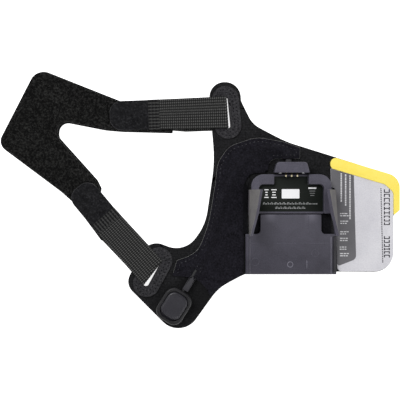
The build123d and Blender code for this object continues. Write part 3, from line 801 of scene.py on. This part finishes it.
def text_rows(start, step, sizes, thickness, gap):
    """Bars in a row that stand for words: their lengths run along the step's direction."""
    bars = []
    reach = 0
    for size in sizes:
        middle = reach + size / 2
        x = start[0] + step[0] * middle
        y = start[1] + step[1] * middle
        bars.append((x, y, size if step[0] else thickness, thickness if step[0] else size))
        reach += size + gap
    return bars


random.seed(11)
PRINT_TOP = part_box("print_panel")[1].z
LABEL_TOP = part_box("reflective_patch")[1].z
print_low, print_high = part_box("print_panel")
words = []
for column, (drop, length) in enumerate(((2.4, 12.5), (3.0, 13), (3.6, 19))):
    x = print_low.x + (5.7 + 2.4 * column) * MM
    sizes = []
    while sum(sizes) < length * MM:
        sizes.append(random.uniform(0.5, 1.3) * MM)
    words += text_rows((x, print_high.y - drop * MM), (0, -1), sizes, 0.75 * MM, 0.25 * MM)
for drop, width in ((24.6, 4.6), (28.8, 4.4), (34.6, 4.6), (38.2, 4.8), (43.0, 5.2), (46.6, 4.8)):
    left = print_low.x + (7.4 - width / 2) * MM
    for row in range(2):
        lengths = [random.uniform(0.7, 1.7) * MM for _ in range(3)]
        words += text_rows((left, print_high.y - (drop + 1.2 * row) * MM), (1, 0), lengths, 0.55 * MM,
                           0.35 * MM)
print_bars("print_marks", words, PRINT_TOP, print_ink)

label_low, label_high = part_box("reflective_patch")
names = []
for top, bottom in ((-11.4, -32.6), (-37.2, -50.6)):
    reach = top
    while reach > bottom + 1.4:
        size = random.uniform(1.2, 2.1)
        for aside in (2.3, 5.0):
            stem_at = label_high.y + (reach - size / 2) * MM
            names.append((label_high.x - aside * MM, stem_at, 0.6 * MM, size * MM))
        cross = reach - random.choice((0.25, size / 2, size - 0.25))
        names.append((label_high.x - 3.65 * MM, label_high.y + cross * MM, 2.2 * MM, 0.5 * MM))
        reach -= size + 0.55
print_bars("label_marks", names, LABEL_TOP, black_ink)
dots = [(label_high.x - (6.9 - 0.024 * part) * MM, label_high.y - (11.2 + 0.98 * part) * MM, 0.6 * MM,
         0.6 * MM) for part in range(42)]
print_bars("label_dots", dots, LABEL_TOP, black_ink)

# %% [markdown]
# ## The palm wrap
# Foam-backed knit, faced all over with brushed loop. The backing is a cut sheet. The nap has a real depth,
# so its solid is remeshed finely and roughened by two sizes of noise, and a few thousand small loops of
# yarn stand in it, each a short low-sided ring set half into the nap.

# %% Palm backing and pile
PALM_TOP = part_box("palm_base")[1].z
palm, palm_rims, palm_area = cut_sheet("palm_base", "palm_cloth", PALM_TOP, PALM_TOP, 4.3 * MM, None,
                                       0.3 * MM)
settle(palm, palm_cloth, "palm_wrap", ["palm_base"])

nap = copy_of("palm_loop_face", "loop_nap")
nap.data.remesh_voxel_size = 0.5 * MM
take(nap)
bpy.ops.object.voxel_remesh()
work(nap, "SMOOTH", iterations=3, factor=0.5)
for corner in nap.data.vertices:
    if corner.co.z > PALM_TOP + 0.3 * MM:
        tufts = noise.noise(corner.co * 620) * 0.26 + noise.noise(corner.co * 210) * 0.1
        corner.co += corner.normal * tufts * MM
settle(nap, pile_cloth, "palm_wrap", ["palm_loop_face"])

LOOP_COUNT = 3200
bpy.ops.object.select_all(action="DESELECT")
bpy.ops.mesh.primitive_torus_add(major_segments=6, minor_segments=3, major_radius=0.34 * MM,
                                 minor_radius=0.06 * MM, rotation=(math.pi / 2, 0, 0))
loop = bpy.context.object
bpy.ops.object.transform_apply(location=True, rotation=True, scale=True)
tops = [face for face in nap.data.polygons if face.normal.z > 0.3 or face.center.z > PALM_TOP + 0.6 * MM]
turns = []
for _ in range(LOOP_COUNT):
    face = tops[random.randrange(len(tops))]
    lean = Matrix.Rotation(random.uniform(-0.7, 0.7), 4, "X")
    spin = Matrix.Rotation(random.uniform(0, math.pi), 4, "Z")
    size = Matrix.Scale(random.uniform(0.7, 1.25), 4)
    turns.append(Matrix.Translation(face.center) @ spin @ lean @ size)
settle(copies("pile_loops", loop, turns), pile_cloth, "palm_wrap", smooth=80)

# %% [markdown]
# ## The elastic straps
# Each strap runs from its tab to its slot, turns down through the slot and comes back underneath to the
# palm wrap. A grid is laid along that path, and its two ways are kept as the attributes that the elastic's
# finish reads. After Solidify has made it a band, eleven ribs are raised along it, except where the tab's
# end is sewn down.

# %% Elastic
SEWN_LENGTH = 5.8 * MM
UNDER_TAB = 0.4 * MM
FLARE = 0.65 * MM
INNER_SHIFT = {"upper": -0.9 * MM, "lower": 0}
FOLD_LEAN = {("upper", 1): 0.3 * MM, ("upper", -1): 0.2 * MM, ("lower", 1): 0.7 * MM, ("lower", -1): 0}
FOLD_RADIUS = 0.9 * MM
RIB_HEIGHT = 0.16 * MM
OUTER_STEPS, TURN_STEPS, DROP_STEPS, INNER_STEPS, ACROSS_STEPS = 190, 6, 3, 40, 66


def seam_frame(side):
    """Where a strap's tab is sewn on, and the directions across it (to its left) and along it."""
    joint = joints[f"{side}_tab_peel"]
    across = Vector(joint["axis"]).normalized()
    return Vector(joint["pos_m"]), across, Vector((across.y, -across.x, 0))


def strap_corners(side):
    """The four corners of the outer run and the two of the inner run's end, from the CAD solid."""
    seam, across, along = seam_frame(side)
    corners = [corner.co for corner in nodes[f"{side}_elastic_strap"].data.vertices]
    low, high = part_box(f"{side}_elastic_strap")
    found = {}
    for hand in (-1, 1):
        edge = [p for p in corners if hand * (p - seam).dot(across) > 3 * MM]
        top = [p for p in edge if p.z > high.z - 0.01 * MM]
        bottom = [p for p in edge if p.z < low.z + 0.01 * MM]
        found["start", hand] = min(top, key=lambda p: (p - seam).dot(along)).copy()
        found["fold", hand] = max(top, key=lambda p: (p - seam).dot(along)).copy()
        found["end", hand] = min(bottom, key=lambda p: (p - seam).dot(along)).copy()
        found["fold", hand] += across * hand * FLARE + along * FOLD_LEAN[side, hand]
    return found, low.z, high.z


def strap_path(start, fold, end, bottom, top, half, aside):
    """One line of the band's middle surface: the outer run, the fold and the inner run."""
    away = (fold - start).normalized()
    high, low = top - half, bottom + half
    turn_at = fold - away * (half + FOLD_RADIUS)
    start = start - away * UNDER_TAB
    points = []
    for step in range(OUTER_STEPS + 1):
        share = step / OUTER_STEPS
        sag = 0.25 * MM * math.sin(math.pi * share) ** 2
        points.append(start.lerp(turn_at, share).to_2d().to_3d() + Vector((0, 0, high - sag)))
    for step in range(1, TURN_STEPS + 1):
        angle = math.pi / 2 * step / TURN_STEPS
        out = away * FOLD_RADIUS * math.sin(angle)
        points.append(Vector((turn_at.x, turn_at.y, high - FOLD_RADIUS * (1 - math.cos(angle)))) + out)
    for step in range(1, DROP_STEPS):
        height = high - FOLD_RADIUS - (high - low - 2 * FOLD_RADIUS) * step / DROP_STEPS
        points.append(Vector((turn_at.x, turn_at.y, height)) + away * FOLD_RADIUS)
    for step in range(TURN_STEPS + 1):
        angle = math.pi / 2 * step / TURN_STEPS
        out = away * FOLD_RADIUS * math.cos(angle)
        points.append(Vector((turn_at.x, turn_at.y, low + FOLD_RADIUS * (1 - math.sin(angle)))) + out)
    for step in range(1, INNER_STEPS + 1):
        share = step / INNER_STEPS
        drift = aside * min(1, 5 * share) * min(1, 4 * (1 - share))
        points.append((turn_at.lerp(end, share) + drift).to_2d().to_3d() + Vector((0, 0, low)))
    return points


def make_strap(side):
    corners, bottom, top = strap_corners(side)
    thickness = 0.95 * MM
    half = 0.6 * MM
    stations = OUTER_STEPS + 2 * TURN_STEPS + DROP_STEPS + INNER_STEPS
    bpy.ops.object.select_all(action="DESELECT")
    bpy.ops.mesh.primitive_grid_add(x_subdivisions=stations, y_subdivisions=ACROSS_STEPS, size=2)
    strap = bpy.context.object
    strap.name = strap.data.name = f"{side}_elastic"
    lines, reaches = [], []
    for row in range(ACROSS_STEPS + 1):
        share = row / ACROSS_STEPS
        start, fold, end = [corners[which, -1].lerp(corners[which, 1], share) for which in
                            ("start", "fold", "end")]
        line = strap_path(start, fold, end, bottom, top, half, seam_frame(side)[1] * INNER_SHIFT[side])
        steps = [0] + [(b - a).length for a, b in zip(line, line[1:])]
        lines.append(line)
        reaches.append(numpy.cumsum(steps))
    across, along, plain = [], [], []
    for corner in strap.data.vertices:
        column = round((corner.co.x + 1) / 2 * stations)
        row = round((corner.co.y + 1) / 2 * ACROSS_STEPS)
        corner.co = lines[row][column]
        across.append(row / ACROSS_STEPS)
        along.append(reaches[row][column])
        plain.append(1.0 if along[-1] < SEWN_LENGTH else 0.0)
    for name, values in (("across", across), ("along", along), ("plain", plain)):
        strap.data.attributes.new(name, "FLOAT", "POINT").data.foreach_set("value", values)
    work(strap, "SOLIDIFY", thickness=thickness, offset=0)
    read = {name: [one.value for one in strap.data.attributes[name].data]
            for name in ("across", "along", "plain")}
    lifts = []
    for index, corner in enumerate(strap.data.vertices):
        rib = 0.5 - 0.5 * math.cos(2 * math.pi * RIB_COUNT * read["across"][index])
        bead = 0.5 + 0.5 * math.sin(2 * math.pi * read["along"][index] / BEAD)
        worked = rib * (0.35 + 0.65 * bead) * RIB_HEIGHT
        sewn = 0.5 * RIB_HEIGHT
        lifts.append(corner.normal * (sewn if read["plain"][index] > 0.5 else worked))
    for corner, lift in zip(strap.data.vertices, lifts):
        corner.co += lift
    width = (corners["start", 1] - corners["start", -1]).length
    settle(strap, elastic_cloth, None, [f"{side}_elastic_strap"], smooth=60)
    return strap


for side in ("upper", "lower"):
    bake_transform(make_strap(side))

# %% [markdown]
# The tabs are stiff tongues of faced cloth, welded to a pad of moulded hooks. They are sewn to the elastic
# with three rows of stitches. The hooks are small mushrooms: one is drawn out of a six-sided peg, its head
# spread and rounded off, and it is copied over the pad in staggered rows.

# %% Tabs, hooks and their stitches
def mushroom(height):
    """One moulded hook that points down from the origin."""
    bpy.ops.object.select_all(action="DESELECT")
    bpy.ops.mesh.primitive_cylinder_add(vertices=6, radius=0.17 * MM, depth=0.6 * height,
                                        location=(0, 0, -0.3 * height))
    peg = bpy.context.object
    bpy.ops.object.transform_apply(location=True, rotation=True, scale=True)
    choose(peg, lambda face: face.normal.z < -0.5)
    bpy.ops.mesh.extrude_region_move(TRANSFORM_OT_translate={"value": (0, 0, -0.08 * height)})
    bpy.ops.transform.resize(value=(2.2, 2.2, 1))
    bpy.ops.mesh.extrude_region_move(TRANSFORM_OT_translate={"value": (0, 0, -0.18 * height)})
    bpy.ops.mesh.extrude_region_move(TRANSFORM_OT_translate={"value": (0, 0, -0.14 * height)})
    bpy.ops.transform.resize(value=(0.5, 0.5, 1))
    bpy.ops.object.mode_set(mode="OBJECT")
    return peg


PAD_BASE = 0.55 * MM
HOOK_PITCH = 1.35 * MM
for side in ("upper", "lower"):
    seam, across, along = seam_frame(side)
    body = f"{side}_tab"
    tab = copy_of(f"{side}_hook_tab", f"{side}_tab_cloth")
    round_edges(tab, 0.32 * MM, 3, 50)
    settle(tab, tab_cloth, body, [f"{side}_hook_tab"])
    tab.data.materials.append(tab_edge_highlight)
    # The sloping rim faces at the tab's round end get a paler cloth: a painted highlight.
    for face in tab.data.polygons:
        if 0.15 < face.normal.z < 0.95 and (face.center - seam).dot(along) < -10 * MM:
            face.material_index = 1
    strap_width = (strap_corners(side)[0]["start", 1] - strap_corners(side)[0]["start", -1]).length

    pad_low, pad_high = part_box(f"{side}_hook_pad")
    pad, pad_rims, pad_area = cut_sheet(f"{side}_hook_pad", f"{side}_pad_base", pad_high.z, PAD_BASE,
                                        None, None, 0.1 * MM)
    settle(pad, hook_plastic, body, [f"{side}_hook_pad"])
    rim = [Vector((x, y, 0)) for x, y in pad_rims[0]]
    places = []
    for row in range(16):
        for column in range(12):
            aside = (column - 5.5 + 0.5 * (row % 2)) * HOOK_PITCH
            point = seam - along * (1.9 * MM + row * HOOK_PITCH * 0.9) + across * aside
            flat_point = point.to_2d().to_3d()
            crossings = 0
            for one, two in zip(rim, rim[1:] + rim[:1]):
                if (one.y > point.y) != (two.y > point.y):
                    meet = one.x + (point.y - one.y) / (two.y - one.y) * (two.x - one.x)
                    crossings += meet > point.x
            if crossings % 2 and min((p - flat_point).length for p in rim) > 0.6 * MM:
                places.append(Matrix.Translation((point.x, point.y, pad_high.z - PAD_BASE)))
    hooks = copies(f"{side}_hooks", mushroom(pad_high.z - PAD_BASE - pad_low.z), places)
    settle(hooks, hook_plastic, body, smooth=50)

    stitch_turn = math.atan2(across.y, across.x)
    rows = []
    for row in range(3):
        for column in range(9):
            point = seam + along * (1.2 + 1.75 * row) * MM + across * (column - 4) * 1.78 * MM
            rows.append((point.x, point.y, stitch_turn))
    sewn_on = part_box(f"{side}_elastic_strap")[1].z - 0.02 * MM
    sew(f"{side}_tab_stitches", rows, sewn_on, thread_dark, "palm_wrap",
        0.85 * MM, 0.62 * MM)
    joins = []
    end_left, end_right = strap_corners(side)[0]["end", 1], strap_corners(side)[0]["end", -1]
    for column in range(10):
        point = end_right.lerp(end_left, (column + 0.5) / 10)
        joins.append((point.x, point.y, math.atan2(along.y, along.x) + (0.45 if column % 2 else -0.45)))
    sew(f"{side}_join_stitches", joins, 0.02 * MM, thread_grey, "palm_wrap",
        3.0 * MM, 0.35 * MM)

# %% [markdown]
# ## The cradle
# Two mouldings: a floor that the scanner slides over, with a rail down each side and a tongue, and a
# U-shaped frame round the label seat with two leaning arms. The CAD shapes are right, so copies of them
# are remeshed finely and smoothed, which gives every moulded edge its small radius. The floor also carries
# what a mould leaves: the ring of an ejector pin, two faint round inserts, and the shallow steps between
# its steel blocks.

# %% Cradle floor and frame
base_low, base_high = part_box("cradle_base")
frame_low, frame_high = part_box("cradle_frame")
CRADLE_X = (base_low.x + base_high.x) / 2
FLOOR = base_high.z - 1.5 * MM
MOULD_GRAIN = 0.28 * MM
floor_piece = copy_of("cradle_base", "cradle_floor")
arms = copy_of("cradle_frame", "cradle_arms")
for piece, finish, node in (
    (floor_piece, floor_plastic, "cradle_base"),
    (arms, cradle_plastic, "cradle_frame"),
):
    piece.data.remesh_voxel_size = MOULD_GRAIN
    take(piece)
    bpy.ops.object.voxel_remesh()
    work(piece, "SMOOTH", iterations=2, factor=0.5)
    settle(piece, finish, "root", [node], smooth=35)
# The right rail's upper faces get a darker nylon: painted shade.
floor_piece.data.materials.append(rail_shade_plastic)
RAIL_LINE = CRADLE_X + 22.8 * MM
for face in floor_piece.data.polygons:
    if face.center.x > RAIL_LINE and face.center.z > FLOOR + 0.2 * MM and face.normal.z > -0.2:
        face.material_index = 1
# The arms' outward faces get a paler nylon: painted light on the faces that the lamps catch.
arms.data.materials.append(arm_lit_plastic)
ARM_FOOT = frame_low.z + 4.6 * MM
ARM_INSIDE = 16 * MM
ARM_END = 5.9 * MM
for face in arms.data.polygons:
    aside = face.center.x - CRADLE_X
    outward = face.normal.x * math.copysign(1, aside)
    beyond = abs(aside) > ARM_INSIDE and face.center.y < ARM_END
    if face.center.z > ARM_FOOT and beyond and outward > 0.15:
        face.material_index = 1

# %% [markdown]
# A thin black sheet under the cradle's edges is painted shade. It shows as a dark strip outside each arm
# and at the bottom of the two openings beside the tongue.

# %% Painted shade sheet
SHADE_SHEET_TOP = PANEL_TOP + 0.35 * MM
OVER_COVER = 0.95 * MM
strips = []
for aside, y, width, length, level in (
    (-19.6, -12.9, 5.2, 10.6, SHADE_SHEET_TOP),
    (19.6, -12.9, 5.2, 10.6, SHADE_SHEET_TOP),
    (-25.0, -5.2, 2.2, 27, SHADE_SHEET_TOP + OVER_COVER),
):
    bpy.ops.object.select_all(action="DESELECT")
    bpy.ops.mesh.primitive_cube_add(size=1, location=(CRADLE_X + aside * MM, y * MM, level))
    bpy.ops.transform.resize(value=(width * MM, length * MM, 0.3 * MM))
    bpy.ops.object.transform_apply(location=True, rotation=True, scale=True)
    strips.append(bpy.context.object)
for strip in strips:
    strip.select_set(True)
bpy.ops.object.join()
shade_sheet = bpy.context.object
shade_sheet.name = "shade_bed"
work(shade_sheet, "BEVEL", width=0.1 * MM, segments=2)
settle(shade_sheet, shade_black, "root", smooth=50)


def mould_mark(name, aside, y, radius, width, finish=highlight_plastic):
    """A round mark left by the mould, standing a hair above the floor."""
    bpy.ops.object.select_all(action="DESELECT")
    bpy.ops.mesh.primitive_torus_add(major_segments=40, minor_segments=8, major_radius=radius,
                                     minor_radius=width, location=(CRADLE_X + aside, y, FLOOR))
    mark = bpy.context.object
    mark.name = name
    bpy.ops.transform.resize(value=(1, 1, 0.35))
    bpy.ops.object.transform_apply(location=True, rotation=True, scale=True)
    return settle(mark, finish, "root", smooth=80)


def mould_step(name, aside, y, width, length, finish=cradle_plastic):
    """A shallow step between two blocks of the mould, as a long low ridge with tapered sides."""
    bpy.ops.object.select_all(action="DESELECT")
    bpy.ops.mesh.primitive_cube_add(size=1, location=(CRADLE_X + aside, y, FLOOR))
    step = bpy.context.object
    step.name = name
    bpy.ops.transform.resize(value=(width, length, 0.16 * MM))
    bpy.ops.object.transform_apply(location=True, rotation=True, scale=True)
    work(step, "BEVEL", width=0.06 * MM, segments=2)
    return settle(step, finish, "root", smooth=50)


# The ejector ring, the floor rib and the two rail lines take the paler nylon: a painted highlight on their
# edges.
mould_mark("ejector_ring", -0.4 * MM, -35.3 * MM, 1.45 * MM, 0.18 * MM)
mould_mark("insert_mark_left", -19.6 * MM, -33.8 * MM, 2.1 * MM, 0.1 * MM, cradle_plastic)
mould_mark("insert_mark_right", 13.2 * MM, -29.2 * MM, 1.9 * MM, 0.1 * MM, cradle_plastic)
mould_step("floor_step_cross", 0, -23.6 * MM, 45 * MM, 0.35 * MM)
mould_step("floor_step_left", -8.2 * MM, -13.4 * MM, 0.25 * MM, 9.6 * MM)
mould_step("floor_step_right", 9.6 * MM, -13.4 * MM, 0.25 * MM, 9.6 * MM)
mould_step("floor_rib", 8.7 * MM, -35.2 * MM, 0.3 * MM, 4.4 * MM, highlight_plastic)
mould_step("rail_line_left", -22.5 * MM, -30.6 * MM, 0.35 * MM, 19 * MM, highlight_plastic)
mould_step("rail_line_right", 22.0 * MM, -30.0 * MM, 0.4 * MM, 20 * MM, highlight_plastic)

# %% [markdown]
# The ID label is a T of greenish black film in its seat, with a blank white panel. Where a maker would
# print marks and text there are only bars.

# %% ID label
label = copy_of("id_label", "id_label_film")
round_edges(label, 0.05 * MM, 2, 50)
settle(label, label_film, "root", ["id_label"])
seat_low, seat_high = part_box("id_label")
print_bars("label_blank", [(CRADLE_X - 0.2 * MM, 3.4 * MM, 9.7 * MM, 5.1 * MM)], seat_high.z, white_ink)
marks = []
for row in range(4):
    height = (5.6 - 1.4 * row) * MM
    marks.append((CRADLE_X - 13.4 * MM, height, (2.3 if row in (0, 3) else 1.3) * MM, 0.5 * MM))
    marks.append((CRADLE_X - 9.3 * MM, height, (2.9 if row in (0, 3) else 1.9) * MM, 0.5 * MM))
marks.append((CRADLE_X + 11.7 * MM, 6.5 * MM, 4.4 * MM, 0.8 * MM))
print_bars("label_signs", marks, seat_high.z, white_ink)
lines = []
for row in range(3):
    lines.append((CRADLE_X + 11.7 * MM, (4.9 - 1.2 * row) * MM, (3.2 - 0.5 * row) * MM, 0.3 * MM))
for start, height, length in ((-15.4, -2.1, 30.5), (-8.6, -4.5, 17.5)):
    sizes = []
    while sum(sizes) + 0.35 * MM * len(sizes) < (length - 1.4) * MM:
        sizes.append(random.uniform(0.5, 1.4) * MM)
    lines += text_rows((CRADLE_X + start * MM, height * MM), (1, 0), sizes, 0.6 * MM, 0.35 * MM)
    lines += text_rows((CRADLE_X + (start + 0.3) * MM, (height + 0.65) * MM), (1, 0), sizes[::2], 0.35 * MM,
                       1.3 * MM)
print_bars("label_lines", lines, seat_high.z, pale_ink)

# %% [markdown]
# ## The contacts
# The contact block stands behind the label with three sprung gold pins. The housing gets its moulded
# radius, and white painted highlights mark the tips of the two lugs under its front. The pins, barrels,
# springs and board keep their CAD shapes and only get their finishes.

# %% Contact block and fixings
LUG_ASIDE = 6.2 * MM
block = copy_of("contact_block", "contact_housing")
round_edges(block, 0.16 * MM, 2, 40)
settle(block, cradle_plastic, "root", ["contact_block"])
# Painted highlights: white marks on the tips of the two lugs.
tips = []
lug_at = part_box("contact_block")[0].y + 0.45 * MM
for hand in (-1, 1):
    above = Vector((CRADLE_X + hand * LUG_ASIDE, lug_at, 1))
    spot = block.ray_cast(above, Vector((0, 0, -1)))[1]
    tips.append((CRADLE_X + hand * LUG_ASIDE, lug_at, 1.2 * MM, 0.5 * MM))
print_bars("lug_highlights", tips, spot.z, white_ink)
for node, finish in {
    "block_grommet": rubber, "contact_board": board_green, "contact_barrels": gold,
    "contact_plunger_1": pin_metal, "contact_plunger_2": pin_metal, "contact_plunger_3": pin_metal,
    "contact_spring_1": spring_wire, "contact_spring_2": spring_wire, "contact_spring_3": spring_wire,
    "backing_plate": zinc, "cradle_screws": zinc, "trigger_cable": jacket, "trigger_board": board_green,
    "trigger_switch": switch_plastic, "trigger_membrane": rubber, "trigger_base": trigger_plastic,
}.items():
    nodes[node].data.materials.clear()
    nodes[node].data.materials.append(finish)

# %% [markdown]
# ## The trigger
# A shield-shaped button sits in a thin bezel. Its cap is crowned, its edge rolls over softly, and the wall
# at its lower end is scooped back, which leaves a dark crescent there. The strain relief ends in three
# prongs that grip the cable.

# %% Bezel, button and strain relief
bezel_low, bezel_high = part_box("trigger_bezel")
TRIGGER_AT = Vector(((bezel_low.x + bezel_high.x) / 2, (bezel_low.y + bezel_high.y) / 2, 0))
TRIGGER_TURN = math.radians(58)
TRIGGER_ALONG = Vector((math.cos(TRIGGER_TURN), math.sin(TRIGGER_TURN), 0))
TRIGGER_ACROSS = Vector((-TRIGGER_ALONG.y, TRIGGER_ALONG.x, 0))
SCOOP = 1.5 * MM
bezel = copy_of("trigger_bezel", "bezel_ring")
round_edges(bezel, 0.22 * MM, 3, 25)
settle(bezel, trigger_plastic, "root", ["trigger_bezel"])

button = copy_of("trigger_button", "button_cap")
button_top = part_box("trigger_button")[1].z
for corner in button.data.vertices:
    reach = (corner.co - TRIGGER_AT).dot(TRIGGER_ALONG)
    if corner.co.z > button_top - 1.0 * MM and reach < 0:
        corner.co += TRIGGER_ALONG * SCOOP * min(1, (reach / (8 * MM)) ** 2)
round_edges(button, 0.5 * MM, 4, 25)
lay_grid(button, 1.1 * MM)
for corner in button.data.vertices:
    if corner.co.z > button_top - 0.02 * MM:
        away = (corner.co - TRIGGER_AT).to_2d().length
        corner.co.z -= 0.5 * MM * min(1, (away / (8.5 * MM)) ** 2)
settle(button, button_plastic, "trigger_button", ["trigger_button"], smooth=50)

relief = copy_of("trigger_strain_relief", "strain_relief")
relief_end = max((corner.co - TRIGGER_AT).dot(TRIGGER_ALONG) for corner in relief.data.vertices)
relief_middle = -0.7 * MM
take(relief)
bpy.ops.object.mode_set(mode="EDIT")
for cut in (-1.05, -0.45, 0.45, 1.05):
    bpy.ops.mesh.select_all(action="SELECT")
    bpy.ops.mesh.bisect(plane_co=TRIGGER_AT + TRIGGER_ACROSS * (relief_middle + cut * MM),
                        plane_no=TRIGGER_ACROSS, threshold=0.0001 * MM)


def is_prong(face):
    """The outer strips and the middle strip of the end face."""
    here = face.center - TRIGGER_AT
    aside = abs(here.dot(TRIGGER_ACROSS) - relief_middle)
    at_end = here.dot(TRIGGER_ALONG) > relief_end - 0.3 * MM and face.normal.dot(TRIGGER_ALONG) > 0.7
    return at_end and (aside < 0.45 * MM or aside > 1.05 * MM)


choose(relief, is_prong)
bpy.ops.mesh.extrude_region_move(TRANSFORM_OT_translate={"value": TRIGGER_ALONG * 0.9 * MM})
bpy.ops.object.mode_set(mode="OBJECT")
round_edges(relief, 0.14 * MM, 2, 40)
settle(relief, rubber, "root", ["trigger_strain_relief"])
